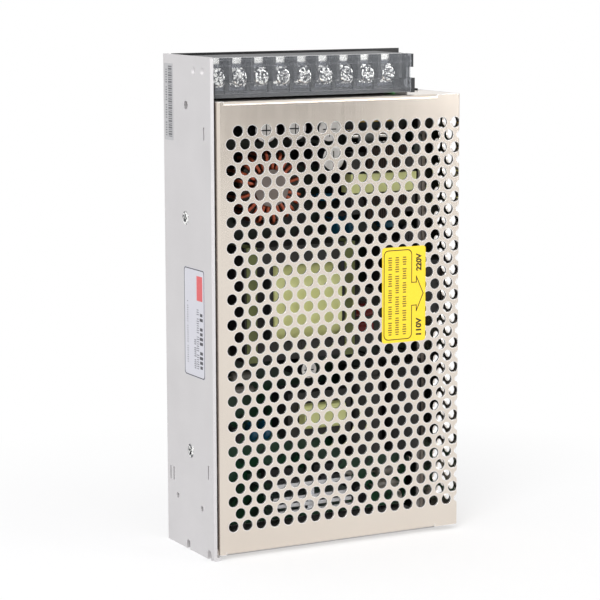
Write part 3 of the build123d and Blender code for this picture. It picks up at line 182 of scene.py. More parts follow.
def tinned_plate():
    """Tin-plated brass strip: bright on its upright tabs, with painted shade that makes it dark grey lower
    down, where it lies in the block.
    """
    material, tree = blank("tin_plated_brass_strip")
    cloud = speckle(tree, size_mm=1.6)
    top_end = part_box("terminal_plates")[1].z
    shade_below = top_end - 2.6 * MM
    unshaded_above = top_end - 1.8 * MM
    place = add(tree, "ShaderNodeTexCoord").outputs["Object"]
    height = add(tree, "ShaderNodeSeparateXYZ", links={"Vector": place}).outputs["Z"]
    plate_shade_span = span(0.0, 1.0, start=shade_below, end=unshaded_above)
    tab = add(tree, "ShaderNodeMapRange", plate_shade_span, {"Value": height}).outputs[0]
    # The dull grey tones are painted shade where the plate lies low in the block; the tabs keep the tin's
    # bright colour.
    dull = add(tree, "ShaderNodeMix", tones("#4E5056", "#63656B"), {"Factor": cloud}).outputs[2]
    bright = add(tree, "ShaderNodeMix", tones("#E4E4E0", "#F6F6F4"), {"Factor": cloud}).outputs[2]
    colour = add(tree, "ShaderNodeMix", {"data_type": "RGBA"}, {"Factor": tab, 6: dull, 7: bright})
    rough = add(tree, "ShaderNodeMapRange", span(0.2, 0.32), {"Value": cloud})
    normal = relief(tree, cloud, depth_mm=0.02, rounded_mm=0.12)
    links = {"Base Color": colour.outputs[2], "Roughness": rough.outputs[0], "Normal": normal}
    shader = add(tree, "ShaderNodeBsdfPrincipled", {"Metallic": 1.0}, links)
    add(tree, "ShaderNodeOutputMaterial", links={"Surface": shader.outputs[0]})
    return material


def moulded(name, dark, light, rough, grain_mm=0.25):
    """Moulded plastic, rubber or film with a fine grain from its tool: a soft, broken sheen."""
    material, tree = blank(name)
    cloud = speckle(tree, size_mm=6.0)
    grain = speckle(tree, grain_mm, detail=1.0)
    colour = add(tree, "ShaderNodeMix", tones(dark, light), {"Factor": cloud})
    broken = add(tree, "ShaderNodeMapRange", span(*rough), {"Value": grain})
    normal = relief(tree, grain, depth_mm=0.01, rounded_mm=0.1)
    links = {"Base Color": colour.outputs[2], "Roughness": broken.outputs[0], "Normal": normal}
    shader = add(tree, "ShaderNodeBsdfPrincipled", {"IOR": 1.5}, links)
    add(tree, "ShaderNodeOutputMaterial", links={"Surface": shader.outputs[0]})
    return material


def clear_polycarbonate():
    """Clear moulded polycarbonate: seen through, with a faint pale haze and bright rims and ribs."""
    material, tree = blank("clear_polycarbonate")
    haze = speckle(tree, size_mm=4.0)
    rounded = add(tree, "ShaderNodeBevel", {"samples": 4, "Radius": 0.35 * MM}).outputs[0]
    rim = add(tree, "ShaderNodeLayerWeight", {"Blend": 0.2}, {"Normal": rounded}).outputs["Facing"]
    opaque = add(tree, "ShaderNodeMapRange", span(0.02, 1.0), {"Value": rim})
    rough = add(tree, "ShaderNodeMapRange", span(0.05, 0.1), {"Value": haze})
    normal = relief(tree, haze, depth_mm=0.01, rounded_mm=0.15)
    links = {"Roughness": rough.outputs[0], "Normal": normal, "Alpha": opaque.outputs[0]}
    settings = {"Base Color": linear("#E4E8EE"), "IOR": 1.58}
    shader = add(tree, "ShaderNodeBsdfPrincipled", settings, links)
    add(tree, "ShaderNodeOutputMaterial", links={"Surface": shader.outputs[0]})
    return material


def wound_wire(name, along, pitch_mm, dark, light):
    """Enamelled copper wire laid turn by turn: glossy ridges, with painted shade as dark lines in the
    grooves between them.
    """
    material, tree = blank(name)
    # The wave's phase turns by 20 radians over one unit, so this scale gives one band to each turn.
    bands = 2 * math.pi / 20 / (pitch_mm * MM)
    ridge_depth_mm = 0.3 * pitch_mm
    settings = {"wave_type": "BANDS", "bands_direction": along, "wave_profile": "SIN", "Scale": bands}
    place = add(tree, "ShaderNodeTexCoord").outputs["Object"]
    turns = add(tree, "ShaderNodeTexWave", settings, {"Vector": place}).outputs["Fac"]
    # The colour follows the ridges: dark in the grooves between turns as painted shade.
    colour = add(tree, "ShaderNodeMix", tones(dark, light), {"Factor": turns})
    links = {"Base Color": colour.outputs[2], "Normal": relief(tree, turns, ridge_depth_mm)}
    shader = add(tree, "ShaderNodeBsdfPrincipled", {"Metallic": 0.7, "Roughness": 0.28}, links)
    add(tree, "ShaderNodeOutputMaterial", links={"Surface": shader.outputs[0]})
    return material


def enamelled_copper():
    """Thick copper wire under clear red-brown enamel: glossy, with a warm glint."""
    material, tree = blank("enamelled_copper_wire")
    cloud = speckle(tree, size_mm=3.0)
    colour = add(tree, "ShaderNodeMix", tones("#A8442A", "#CF6E4A"), {"Factor": cloud})
    links = {"Base Color": colour.outputs[2], "Normal": relief(tree, cloud, depth_mm=0.02)}
    settings = {"Metallic": 0.75, "Roughness": 0.3, "Coat Weight": 0.6, "Coat Roughness": 0.1}
    shader = add(tree, "ShaderNodeBsdfPrincipled", settings, links)
    add(tree, "ShaderNodeOutputMaterial", links={"Surface": shader.outputs[0]})
    return material


def polyester_tape(name, dark, light):
    """Glossy polyester tape wound in layers: fine edges of the layers show as faint lines."""
    material, tree = blank(name)
    layers = speckle(tree, size_mm=1.1, stretch=(0.05, 0.6, 1))
    cloud = speckle(tree, size_mm=7.0)
    colour = add(tree, "ShaderNodeMix", tones(dark, light), {"Factor": cloud})
    rough = add(tree, "ShaderNodeMapRange", span(0.3, 0.42), {"Value": layers})
    normal = relief(tree, layers, depth_mm=0.06, rounded_mm=0.3)
    links = {"Base Color": colour.outputs[2], "Roughness": rough.outputs[0], "Normal": normal}
    shader = add(tree, "ShaderNodeBsdfPrincipled", {"IOR": 1.6}, links)
    add(tree, "ShaderNodeOutputMaterial", links={"Surface": shader.outputs[0]})
    return material


def sintered_ferrite():
    """Ground ferrite: dark grey-black stone with a dull, granular surface."""
    material, tree = blank("sintered_ferrite")
    grain = speckle(tree, size_mm=0.4, detail=4.0)
    colour = add(tree, "ShaderNodeMix", tones("#1B1A1B", "#34322F"), {"Factor": grain})
    rough = add(tree, "ShaderNodeMapRange", span(0.45, 0.6), {"Value": grain})
    normal = relief(tree, grain, depth_mm=0.02, rounded_mm=0.2)
    links = {"Base Color": colour.outputs[2], "Roughness": rough.outputs[0], "Normal": normal}
    shader = add(tree, "ShaderNodeBsdfPrincipled", links=links)
    add(tree, "ShaderNodeOutputMaterial", links={"Surface": shader.outputs[0]})
    return material


def dipped(name, dark, light):
    """Epoxy-dipped component: a thick glossy skin with an uneven run to it."""
    material, tree = blank(name)
    run = speckle(tree, size_mm=2.4, detail=1.0)
    colour = add(tree, "ShaderNodeMix", tones(dark, light), {"Factor": run})
    rough = add(tree, "ShaderNodeMapRange", span(0.16, 0.28), {"Value": run})
    normal = relief(tree, run, depth_mm=0.12, rounded_mm=0.2)
    links = {"Base Color": colour.outputs[2], "Roughness": rough.outputs[0], "Normal": normal}
    shader = add(tree, "ShaderNodeBsdfPrincipled", {"IOR": 1.55}, links)
    add(tree, "ShaderNodeOutputMaterial", links={"Surface": shader.outputs[0]})
    return material


def solder_mask():
    """Green solder mask over copper tracks: glossy and dark, and darker and browner higher up, as painted
    shade together with the tone of the small parts crowded there.
    """
    material, tree = blank("green_solder_mask_board")
    track_size = 6.0 * MM
    place = add(tree, "ShaderNodeTexCoord").outputs["Object"]
    settings = {"feature": "F1", "distance": "MANHATTAN", "Scale": 1 / track_size, "Randomness": 0.8}
    cells = add(tree, "ShaderNodeTexVoronoi", settings, {"Vector": place}).outputs["Distance"]
    track_edge = span(0.0, 1.0, start=0.4, end=0.5)
    tracks = add(tree, "ShaderNodeMapRange", track_edge, {"Value": cells}).outputs[0]
    unshaded_tones = add(tree, "ShaderNodeMix", tones("#0C2E1C", "#1A5234"), {"Factor": tracks}).outputs[2]
    # Higher up the board turns brown-black: painted shade of the crowded parts above it, mixed with their
    # own dark tone.
    shaded_tones = add(tree, "ShaderNodeMix", tones("#110F0C", "#1E2A1E"), {"Factor": tracks}).outputs[2]
    height = add(tree, "ShaderNodeSeparateXYZ", links={"Vector": place}).outputs["Z"]
    board_shade_span = span(0.0, 1.0, start=40 * MM, end=75 * MM)
    painted_board_shade = add(tree, "ShaderNodeMapRange", board_shade_span, {"Value": height}).outputs[0]
    colour = add(tree, "ShaderNodeMix", {"data_type": "RGBA"}, {"Factor": painted_board_shade, 6: unshaded_tones, 7: shaded_tones})
    links = {"Base Color": colour.outputs[2], "Normal": relief(tree, tracks, depth_mm=0.035)}
    shader = add(tree, "ShaderNodeBsdfPrincipled", {"Roughness": 0.3, "IOR": 1.5}, links)
    add(tree, "ShaderNodeOutputMaterial", links={"Surface": shader.outputs[0]})
    return material


def shrink_sleeve():
    """Shrunk PVC sleeve on a lying capacitor: satin, brownish black, with a fine uneven skin."""
    material, tree = blank("black_shrink_sleeve")
    fine = speckle(tree, size_mm=1.2)
    colour = add(tree, "ShaderNodeMix", tones("#0E0C0B", "#1B1816"), {"Factor": fine})
    rough = add(tree, "ShaderNodeMapRange", span(0.3, 0.4), {"Value": fine})
    normal = relief(tree, fine, depth_mm=0.03, rounded_mm=0.25)
    links = {"Base Color": colour.outputs[2], "Roughness": rough.outputs[0], "Normal": normal}
    shader = add(tree, "ShaderNodeBsdfPrincipled", {"IOR": 1.5}, links)
    add(tree, "ShaderNodeOutputMaterial", links={"Surface": shader.outputs[0]})
    return material


def sleeved_can(node):
    """A sleeved capacitor on end: satin black sides, and a top of bare, bright aluminium."""
    material, tree = blank(f"sleeved_aluminium_can_{node}")
    rim = 0.15 * MM
    top_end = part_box(node)[0].y + rim
    fine = speckle(tree, size_mm=1.2)
    place = add(tree, "ShaderNodeTexCoord").outputs["Object"]
    depth = add(tree, "ShaderNodeSeparateXYZ", links={"Vector": place}).outputs["Y"]
    bare = add(tree, "ShaderNodeMath", {"operation": "LESS_THAN", 1: top_end}, {0: depth}).outputs[0]
    sleeve = add(tree, "ShaderNodeMix", tones("#101113", "#1E1F22"), {"Factor": fine}).outputs[2]
    top = add(tree, "ShaderNodeMix", tones("#D8D5D2", "#ECEAE8"), {"Factor": fine}).outputs[2]
    colour = add(tree, "ShaderNodeMix", {"data_type": "RGBA"}, {"Factor": bare, 6: sleeve, 7: top})
    rough = add(tree, "ShaderNodeMapRange", span(0.28, 0.4), {"Value": fine})
    links = {
        "Base Color": colour.outputs[2],
        "Metallic": bare,
        "Roughness": rough.outputs[0],
        "Normal": relief(tree, fine, depth_mm=0.02, rounded_mm=0.25),
    }
    shader = add(tree, "ShaderNodeBsdfPrincipled", links=links)
    add(tree, "ShaderNodeOutputMaterial", links={"Surface": shader.outputs[0]})
    return material


def extruded_aluminium():
    """Extruded aluminium: bright, with fine lines from the die along its length."""
    material, tree = blank("extruded_aluminium")
    lines = speckle(tree, size_mm=0.4, stretch=(1, 0.05, 1))
    colour = add(tree, "ShaderNodeMix", tones("#D4D5D8", "#EAEBEE"), {"Factor": lines})
    rough = add(tree, "ShaderNodeMapRange", span(0.28, 0.4), {"Value": lines})
    normal = relief(tree, lines, depth_mm=0.01, rounded_mm=0.2)
    links = {"Base Color": colour.outputs[2], "Roughness": rough.outputs[0], "Normal": normal}
    shader = add(tree, "ShaderNodeBsdfPrincipled", {"Metallic": 1.0}, links)
    add(tree, "ShaderNodeOutputMaterial", links={"Surface": shader.outputs[0]})
    return material


def fuse_glass():
    """Glass tube with a nickel cap on each end: glossy, half seen through between the caps."""
    material, tree = blank("glass_fuse_with_nickel_caps")
    cap_length = 5 * MM
    low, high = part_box("fuse")
    place = add(tree, "ShaderNodeTexCoord").outputs["Object"]
    across = add(tree, "ShaderNodeSeparateXYZ", links={"Vector": place}).outputs["X"]
    from_middle = {"operation": "SUBTRACT", 1: (low.x + high.x) / 2}
    offset = add(tree, "ShaderNodeMath", from_middle, {0: across}).outputs[0]
    distance = add(tree, "ShaderNodeMath", {"operation": "ABSOLUTE"}, {0: offset}).outputs[0]
    past_glass = {"operation": "GREATER_THAN", 1: (high.x - low.x) / 2 - cap_length}
    cap = add(tree, "ShaderNodeMath", past_glass, {0: distance}).outputs[0]
    colour = add(tree, "ShaderNodeMix", tones("#DDE4E2", "#C9C7C2"), {"Factor": cap})
    opaque = add(tree, "ShaderNodeMapRange", span(0.45, 1.0), {"Value": cap})
    links = {"Base Color": colour.outputs[2], "Metallic": cap, "Alpha": opaque.outputs[0]}
    shader = add(tree, "ShaderNodeBsdfPrincipled", {"Roughness": 0.12, "IOR": 1.5}, links)
    add(tree, "ShaderNodeOutputMaterial", links={"Surface": shader.outputs[0]})
    return material


def printed_paper(name, dark, light, rough=0.5):
    """Coated label stock or the ink on it: matte, with a barely uneven print tone."""
    material, tree = blank(name)
    fibre = speckle(tree, size_mm=0.8, detail=3.0)
    colour = add(tree, "ShaderNodeMix", tones(dark, light), {"Factor": fibre})
    links = {"Base Color": colour.outputs[2], "Normal": relief(tree, fibre, depth_mm=0.004)}
    shader = add(tree, "ShaderNodeBsdfPrincipled", {"Roughness": rough, "IOR": 1.45}, links)
    add(tree, "ShaderNodeOutputMaterial", links={"Surface": shader.outputs[0]})
    return material


zinc = small_metal("bright_zinc_plated_steel", "#C9C9C6", "#E8E8E6", rough=(0.18, 0.3))
black_moulding = moulded("black_pbt_moulding", "#17181B", "#24262B", rough=(0.35, 0.5))
device_epoxy = moulded("black_moulding_epoxy", "#101010", "#1C1C1D", rough=(0.45, 0.6), grain_mm=0.4)
black_film = moulded("black_polyester_film", "#0D0D0E", "#18181A", rough=(0.25, 0.35), grain_mm=1.2)
ferrite = sintered_ferrite()
pale_tape = polyester_tape("pale_yellow_polyester_tape", "#D4D88C", "#E6EAA6")

finishes = {
    "chassis": mill_aluminium(),
    "mesh_cover": bright_nickel(),
    "cover_screws": zinc,
    "wall_screws": zinc_with_painted_reflections("bright_zinc_wall_screw", grain_mm=1.4),
    "wall_pads": moulded("grey_silicone_rubber_pad", "#8A8C90", "#9A9CA0", rough=(0.6, 0.75)),
    "wall_devices": device_epoxy,
    "clamp_bars": small_metal("plain_steel_strip", "#9A9A98", "#B4B4B2", rough=(0.3, 0.42)),
    "wall_nuts": zinc,
    "standoffs": small_metal("turned_brass", "#B08C3E", "#CDAA5C", rough=(0.22, 0.34)),
    "board_screws": zinc,
    "insulation_sheet": black_film,
    "circuit_board": solder_mask(),
    "terminal_block": black_moulding,
    "terminal_plates": tinned_plate(),
    "clamp_washers": zinc_with_painted_reflections("bright_zinc_clamp_washer", grain_mm=1.5),
    "terminal_screws": zinc_with_painted_reflections("bright_zinc_screw_head", grain_mm=1.1),
    "terminal_cover": clear_polycarbonate(),
    # The choke core's dark colour stands for its own dark tone together with painted shade in the narrow
    # gaps between the turns.
    "choke_core": dipped("iron_powder_dark_with_gap_shade", "#2B2620", "#403A2E"),
    "choke_winding": enamelled_copper(),
    "choke_foot": black_moulding,
    "choke_clamp": moulded("grey_brown_nylon_moulding", "#887C76", "#9A8F88", rough=(0.4, 0.55)),
    "transformer_core": ferrite,
    "transformer_bobbin": black_moulding,
    "transformer_coil": pale_tape,
    "core_tape": polyester_tape("dark_olive_polyester_tape", "#5F6636", "#7C844A"),
    "filter_core": ferrite,
    "filter_windings": wound_wire("dark_enamelled_wire", "X", pitch_mm=0.9, dark="#120E0B", light="#382A20"),
    "filter_tape": pale_tape,
    "filter_base": black_moulding,
    "driver_core": ferrite,
    "driver_coil": pale_tape,
    "driver_base": black_moulding,
    "primary_heatsink": extruded_aluminium(),
    "sink_devices": device_epoxy,
    "output_capacitors": sleeved_can("output_capacitors"),
    "small_capacitors": sleeved_can("small_capacitors"),
    "bulk_capacitors": shrink_sleeve(),
    "capacitor_glue": moulded("white_silicone_bead", "#D8D8D4", "#E6E6E2", rough=(0.5, 0.65), grain_mm=1.5),
    "disc_capacitors": dipped("teal_blue_epoxy_dip", "#103E50", "#1D6484"),
    "film_capacitors": dipped("dark_red_epoxy_dip", "#521414", "#7E2420"),
    "line_capacitor": moulded("yellow_pbt_case", "#B6922A", "#CCA838", rough=(0.35, 0.5)),
    "fuse": fuse_glass(),
    "fuse_clips": small_metal("bright_tin_plated_brass", "#D4D4D0", "#F0F0EE", rough=(0.14, 0.26)),
    "bridge_rectifier": device_epoxy,
    "inrush_thermistor": dipped("dark_green_ceramic_dip", "#15221B", "#223329"),
    "controller_chip": device_epoxy,
    "small_resistors": dipped("grey_flameproof_coating", "#77746C", "#95928A"),
    "selector_body": black_moulding,
    "selector_slider": moulded("red_abs_slider", "#A81814", "#C22A22", rough=(0.3, 0.42)),
    "trimmer_body": moulded("blue_pbt_trimmer", "#1C4A8E", "#2A5CA6", rough=(0.35, 0.5)),
    "trimmer_rotor": moulded("cream_nylon_rotor", "#D8D0B4", "#E6DFC8", rough=(0.35, 0.5)),
    "power_lamp": moulded("green_tinted_epoxy", "#2C9A3C", "#49B857", rough=(0.12, 0.2), grain_mm=2.0),
    "voltage_label": printed_paper("yellow_label_stock", "#F6CF22", "#FCDC3A"),
    "rating_label": printed_paper("silver_grey_label_stock", "#C6C6CE", "#D0D0D8", rough=0.4),
    "bar_label": printed_paper("pale_grey_label_stock", "#ADADAF", "#BABABC"),
}
for node, material in finishes.items():
    nodes[node].data.materials.clear()
    nodes[node].data.materials.append(material)


# Labels: a thin stock with its print raised on it. Sizes from here to the camera are in millimetres.
stock_t = 0.09
stock_corner = 1.2
print_t = 0.02
print_sink = 0.005
line_w = 0.36

# A stroke's least length as a share of its column, and how fast the lengths change along the column
least_stroke = 0.72
stroke_change = 2.3

# How far the numbers' strokes are widened, in the font's own units
bolder = 0.045


def piece(name, shape, material):
    """A finished mesh that rides on the case."""
    mesh = bpy.data.meshes.new(name)
    shape.to_mesh(mesh)
    shape.free()
    mesh.materials.append(material)
    made = bpy.data.objects.new(name, mesh)
    bpy.context.collection.objects.link(made)
    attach(made, "case")
    return made


class Face:
    """A label's face: places run along it, up it and out of it, from its lower left corner."""

    def __init__(self, node, along, out):
        low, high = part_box(node)
        corners = (low, high)
        self.node = node
        self.along = Vector(along)
        self.up = Vector((0, 0, 1))
        self.out = Vector(out)
        self.width = abs((high - low).dot(self.along)) / MM
        self.height = (high.z - low.z) / MM
        start = min(corner.dot(self.along) for corner in corners)
        inside = min(corner.dot(self.out) for corner in corners)
        self.corner = start * self.along + low.z * self.up + inside * self.out
        self.turn = Matrix((self.along, self.up, self.out)).transposed().to_4x4()

    def place(self, x, y, z):
        """The matrix that lays a flat shape on the face, with its middle at x, y, z."""
        offset = (x * self.along + y * self.up + z * self.out) * MM
        return Matrix.Translation(self.corner + offset) @ self.turn

    def block(self, shape, x, y, width, height, low, high, angle=0.0):
        """Adds a flat block, centred at x, y and turned by an angle in the face."""
        size = Matrix.Diagonal((width * MM, height * MM, (high - low) * MM, 1.0))
        turned = self.place(x, y, (low + high) / 2) @ Matrix.Rotation(angle, 4, "Z")
        bmesh.ops.create_cube(shape, size=1.0, matrix=turned @ size)

    def ink(self, shape, x, y, width, height, angle=0.0):
        """Adds a printed bar that starts just inside the stock, so that the two hold together."""
        self.block(shape, x, y, width, height, stock_t - print_sink, stock_t + print_t, angle)

    def lines(self, shape, places):
        """Adds a thin printed line from each place to the next."""
        for (x0, y0), (x1, y1) in zip(places, places[1:]):
            length = math.hypot(x1 - x0, y1 - y0) + line_w
            angle = math.atan2(y1 - y0, x1 - x0)
            self.ink(shape, (x0 + x1) / 2, (y0 + y1) / 2, length, line_w, angle)


def label_stock(face, corner):
    """The label's own thin sheet, with rounded corners, in place of the CAD node."""
    shape = bmesh.new()
    face.block(shape, face.width / 2, face.height / 2, face.width, face.height, 0.0, stock_t)
    rims = []
    for edge in shape.edges:
        start, end = edge.verts
        if abs((start.co - end.co).dot(face.out)) > stock_t * MM / 2:
            rims.append(edge)
    radius = corner * MM
    bmesh.ops.bevel(shape, geom=rims, offset=radius, segments=5, profile=0.5, affect="EDGES", material=-1)
    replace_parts(piece(f"{face.node}_stock", shape, finishes[face.node]), face.node)


def rounded_frame(left, low, right, high, radius, steps=4):
    """The places along a rounded rectangle, from the upper end of its right side and back to it."""
    turns = (
        (right - radius, high - radius, 0),
        (left + radius, high - radius, 90),
        (left + radius, low + radius, 180),
        (right - radius, low + radius, 270),
    )
    places = []
    for middle_x, middle_y, start in turns:
        for step in range(steps + 1):
            angle = math.radians(start + 90 * step / steps)
            places.append((middle_x + radius * math.cos(angle), middle_y + radius * math.sin(angle)))
    return places + places[:1]


def print_ticks(face, shape, x, width, low, high, step, thickness, gap_every):
    """A column of short strokes in place of small print, broken where words would end."""
    for index in range(int((high - low) / step)):
        if index % gap_every != gap_every - 1:
            share = least_stroke + (1 - least_stroke) * math.sin(stroke_change * index) ** 2
            face.ink(shape, x, low + step * (index + 0.5), width * share, thickness)


def print_number(face, name, words, material, x, y, length, height):
    """A number turned to read upwards, made a mesh before it is placed."""
    text = bpy.data.curves.new(name, "FONT")
    text.body = words
    text.offset = bolder
    holder = bpy.data.objects.new(name, text)
    bpy.context.collection.objects.link(holder)
    mesh = bpy.data.meshes.new_from_object(holder)
    bpy.data.objects.remove(holder)
    shape = bmesh.new()
    shape.from_mesh(mesh)
    bpy.data.meshes.remove(mesh)
    flat = [vert.co for vert in shape.verts]
    low = Vector((min(co.x for co in flat), min(co.y for co in flat), 0))
    high = Vector((max(co.x for co in flat), max(co.y for co in flat), 0))
    scale = Matrix.Diagonal((length * MM / (high.x - low.x), height * MM / (high.y - low.y), 1.0, 1.0))
    upwards = Matrix.Rotation(math.radians(90), 4, "Z")
    bmesh.ops.transform(shape, matrix=scale @ Matrix.Translation(-(low + high) / 2), verts=shape.verts)
    bmesh.ops.transform(shape, matrix=face.place(x, y, stock_t + print_t / 2) @ upwards, verts=shape.verts)
    bmesh.ops.solidify(shape, geom=shape.faces, thickness=-print_t * MM / 2)
    bmesh.ops.recalc_face_normals(shape, faces=shape.faces)
    piece(name, shape, material)


def make_voltage_label(ink, faint):
    """Yellow label over the selector: a framed note, an arrow to the switch and its two numbers."""
    face = Face("voltage_label", (1, 0, 0), (0, -1, 0))
    label_stock(face, stock_corner)
    middle = face.height / 2
    left = 0.9
    right = 13.8
    low = 1.3
    high = face.height - low
    neck = 4.7
    barb = 7.1
    barb_x = 16.0
    tip_x = 19.2
    shape = bmesh.new()
    outline = rounded_frame(left, low, right, high, radius=2.0)[:-1]
    face.lines(shape, outline)
    arrow = [outline[0], (right, middle + neck), (barb_x, middle + neck), (barb_x, middle + barb)]
    arrow.append((tip_x, middle))
    arrow += [(barb_x, middle - barb), (barb_x, middle - neck), (right, middle - neck), outline[-1]]
    face.lines(shape, arrow)
    piece("voltage_label_frame", shape, ink)

    margin = 1.6
    ends = {"low": low + margin, "high": high - margin}
    shape = bmesh.new()
    for x, gap_every in ((3.7, 7), (7.0, 9), (10.4, 6)):
        print_ticks(face, shape, x, width=1.9, step=0.95, thickness=0.5, gap_every=gap_every, **ends)
    piece("voltage_label_small_print", shape, faint)

    size = {"length": 7.2, "height": 2.6}
    print_number(face, "voltage_number_low", "110V", ink, x=17.1, y=6.0, **size)
    print_number(face, "voltage_number_high", "220V", ink, x=17.1, y=face.height - 6.6, **size)


def make_rating_label(ink, faint, red):
    """Silver-grey label on the wall: a thin rounded outline, a red field and broken strokes."""
    face = Face("rating_label", (0, -1, 0), (-1, 0, 0))
    label_stock(face, stock_corner)
    inset = 0.35
    bold = {"width": 3.0, "low": 3.6, "high": 27.5, "step": 1.9, "thickness": 1.2, "gap_every": 5}
    fine = {"width": 2.2, "low": 3.4, "high": 28.5, "step": 0.9, "thickness": 0.35, "gap_every": 8}
    short = {"width": 2.0, "low": 3.4, "high": 16.0, "step": 0.8, "thickness": 0.4, "gap_every": 6}
    last = {"width": 1.2, "low": 5.0, "high": 31.0, "step": 0.9, "thickness": 0.3, "gap_every": 9}
    shape = bmesh.new()
    face.lines(shape, rounded_frame(inset, inset, face.width - inset, face.height - inset, stock_corner))
    print_ticks(face, shape, face.width - 3.0, **bold)
    piece("rating_label_print", shape, ink)

    shape = bmesh.new()
    print_ticks(face, shape, face.width - 6.2, **fine)
    print_ticks(face, shape, face.width - 8.6, **short)
    print_ticks(face, shape, 3.2, **last)
    piece("rating_label_small_print", shape, faint)

    shape = bmesh.new()
    face.ink(shape, x=face.width - 4.4, y=face.height - 7.6, width=5.2, height=9.8)
    piece("rating_label_red_field", shape, red)


def make_bar_label(ink):
    """Small pale label near the wall's top: a ladder of bars beside a column of strokes."""
    face = Face("bar_label", (0, -1, 0), (-1, 0, 0))
    label_stock(face, corner=0.6)
    low = 1.4
    high = face.height - low
    ladder_x = face.width * 0.68
    bar_length = face.width * 0.42
    thinnest = 0.3
    thicker_by = 0.22
    bar_gap = 0.34
    shape = bmesh.new()
    level = low
    index = 0
    while level < high:
        thickness = thinnest + thicker_by * (index * 5 % 3)
        face.ink(shape, ladder_x, level + thickness / 2, bar_length, thickness)
        level += thickness + bar_gap
        index += 1
    column = {"width": 1.5, "step": 1.0, "thickness": 0.4, "gap_every": 7}
    print_ticks(face, shape, face.width * 0.24, low=low, high=high, **column)
    piece("bar_label_print", shape, ink)


make_voltage_label(
    ink=printed_paper("dark_print_ink", "#2A2410", "#3A3216"),
    faint=printed_paper("thin_dark_print_ink", "#6A5A1C", "#7A6A26"),
)
make_rating_label(
    ink=printed_paper("dark_grey_print_ink", "#3A3A40", "#4A4A50"),
    faint=printed_paper("grey_print_ink", "#6C6C74", "#7A7A82"),
    red=printed_paper("red_print_ink", "#D0555A", "#DC6A6C"),
)
make_bar_label(ink=printed_paper("soft_grey_print_ink", "#5A5A5E", "#6A6A6E"))


# The camera of the photograph: its place, direction and lens. Sizes from here on are in metres.
camera_place = Vector((-0.434184, -0.811395, 0.236495))
camera_yaw = math.radians(27.823)
camera_pitch = math.radians(8.590)
camera_roll = math.radians(-0.160)
focal_pixels = 2282.309
image_pixels = 600
sensor_mm = 36.0
nearest_seen = 0.01

# The studio: lamps aimed at the case's middle, under a pale dome and over a white card
lamp_target = Vector((0, 0, 0.1))
dome_strength = 0.75
floor_width = 6.0

# How far from the case's middle the card is half white and all white to the eye
half_white = 0.06
all_white = 0.24

# A dark card ahead of the case, outside the picture, that the bright cover mirrors near its top
flag_place = Vector((0.56, -1.08, 0.18))
flag_width = 0.22
flag_height = 0.24


def make_camera():
    """The camera that took the photograph."""
    level_share = math.cos(camera_pitch)
    ahead = Vector(
        (
            math.sin(camera_yaw) * level_share,
            math.cos(camera_yaw) * level_share,
            -math.sin(camera_pitch),
        )
    )
    level = Vector((math.cos(camera_yaw), -math.sin(camera_yaw), 0))
    upright = level.cross(ahead)
    across = math.cos(camera_roll) * level + math.sin(camera_roll) * upright
    up = math.cos(camera_roll) * upright - math.sin(camera_roll) * level
    data = bpy.data.cameras.new("camera")
    data.sensor_width = sensor_mm
    data.lens = focal_pixels / image_pixels * sensor_mm
    data.clip_start = nearest_seen
    camera = bpy.data.objects.new("camera", data)
    turn = Matrix((across, up, -ahead)).transposed().to_4x4()
    camera.matrix_world = Matrix.Translation(camera_place) @ turn
    bpy.context.collection.objects.link(camera)
    bpy.context.scene.camera = camera


def lamp(name, place, size, watts):
    """A round white lamp, aimed at the case's middle."""
    data = bpy.data.lights.new(name, "AREA")
    data.shape = "DISK"
    data.size = size
    data.energy = watts
    light = bpy.data.objects.new(name, data)
    away = Vector(place) - lamp_target
    turn = away.to_track_quat("Z", "Y").to_matrix().to_4x4()
    light.matrix_world = Matrix.Translation(Vector(place)) @ turn
    bpy.context.collection.objects.link(light)


def seen_directly(tree):
    """One where the camera, a mirror or clear plastic looks at the surface."""
    path = add(tree, "ShaderNodeLightPath").outputs
    links = {0: path["Is Camera Ray"], 1: path["Is Glossy Ray"]}
    mirrored = add(tree, "ShaderNodeMath", {"operation": "MAXIMUM"}, links).outputs[0]
    links = {0: mirrored, 1: path["Is Transmission Ray"]}
    return add(tree, "ShaderNodeMath", {"operation": "MAXIMUM"}, links).outputs[0]


def make_world():
    """Even studio light: a soft grey dome for light, with a white background for the eye."""
    world = bpy.data.worlds.new("studio")
    bpy.context.scene.world = world
    world.use_nodes = True
    tree = world.node_tree
    tree.nodes.clear()
    place = add(tree, "ShaderNodeTexCoord").outputs["Generated"]
    height = add(tree, "ShaderNodeSeparateXYZ", links={"Vector": place}).outputs["Z"]
    high = add(tree, "ShaderNodeMapRange", span(0.0, 1.0, start=-0.2, end=0.9), {"Value": height})
    dome = add(tree, "ShaderNodeMix", tones("#E9E8E8", "#FFFFFF"), {"Factor": high.outputs[0]})
    soft = add(tree, "ShaderNodeBackground", {"Strength": dome_strength}, {"Color": dome.outputs[2]})
    white = add(tree, "ShaderNodeBackground", {"Color": linear("#FFFFFF"), "Strength": 1.0})
    links = {0: seen_directly(tree), 1: soft.outputs[0], 2: white.outputs[0]}
    mix = add(tree, "ShaderNodeMixShader", links=links)
    add(tree, "ShaderNodeOutputWorld", links={"Surface": mix.outputs[0]})


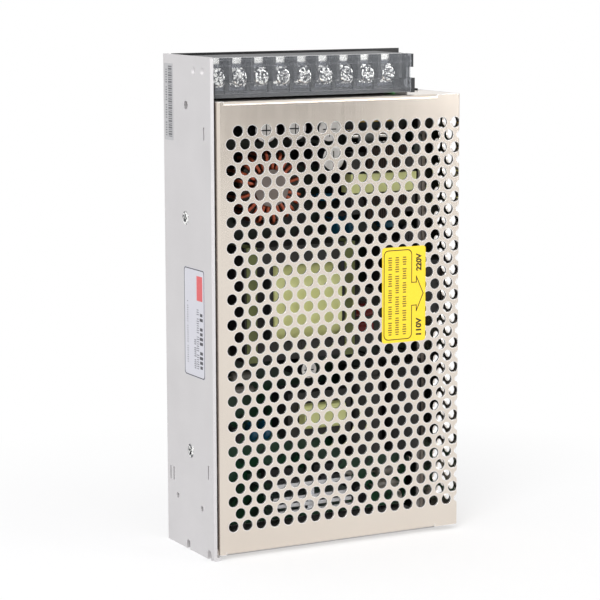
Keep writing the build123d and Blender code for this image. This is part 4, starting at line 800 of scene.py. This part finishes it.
def white_card():
    """White card: pale with a contact shadow under the case, and pure white a little way off."""
    material, tree = blank("white_card")
    place = add(tree, "ShaderNodeTexCoord").outputs["Object"]
    radius = add(tree, "ShaderNodeVectorMath", {"operation": "LENGTH"}, {0: place}).outputs["Value"]
    whiter = span(0.5, 1.0, start=half_white, end=all_white)
    far = add(tree, "ShaderNodeMapRange", whiter, {"Value": radius}).outputs[0]
    links = {0: far, 1: seen_directly(tree)}
    amount = add(tree, "ShaderNodeMath", {"operation": "MULTIPLY"}, links)
    card = add(tree, "ShaderNodeBsdfDiffuse", {"Color": linear("#F4F4F5")})
    white = add(tree, "ShaderNodeEmission", {"Color": linear("#FFFFFF"), "Strength": 1.0})
    links = {0: amount.outputs[0], 1: card.outputs[0], 2: white.outputs[0]}
    mix = add(tree, "ShaderNodeMixShader", links=links)
    add(tree, "ShaderNodeOutputMaterial", links={"Surface": mix.outputs[0]})
    return material


def dark_card():
    """Black cloth on card: dull, and dark from every side."""
    material, tree = blank("dark_card")
    cloth = add(tree, "ShaderNodeBsdfDiffuse", {"Color": linear("#0E0D0C")})
    add(tree, "ShaderNodeOutputMaterial", links={"Surface": cloth.outputs[0]})
    return material


def stage_card(name, material, width, depth, place, seen=True):
    """A flat card of the studio, which is no piece of the object."""
    shape = bmesh.new()
    bmesh.ops.create_grid(shape, x_segments=1, y_segments=1, size=0.5)
    size = Matrix.Diagonal((width, depth, 1.0, 1.0))
    bmesh.ops.transform(shape, matrix=place @ size, verts=shape.verts)
    mesh = bpy.data.meshes.new(name)
    shape.to_mesh(mesh)
    shape.free()
    mesh.materials.append(material)
    card = bpy.data.objects.new(name, mesh)
    bpy.context.collection.objects.link(card)
    card.visible_camera = seen


make_camera()
make_world()
stage_card("floor", white_card(), floor_width, floor_width, Matrix.Identity(4))
flag_turn = Matrix.Translation(flag_place) @ Matrix.Rotation(math.radians(90), 4, "X")
stage_card("dark_card", dark_card(), flag_width, flag_height, flag_turn, seen=False)
lamp("key", place=(-0.9, -0.9, 1.1), size=0.9, watts=14)
lamp("fill", place=(0.9, -1.1, 0.5), size=0.8, watts=5)

bpy.context.scene.view_settings.view_transform = "Standard"
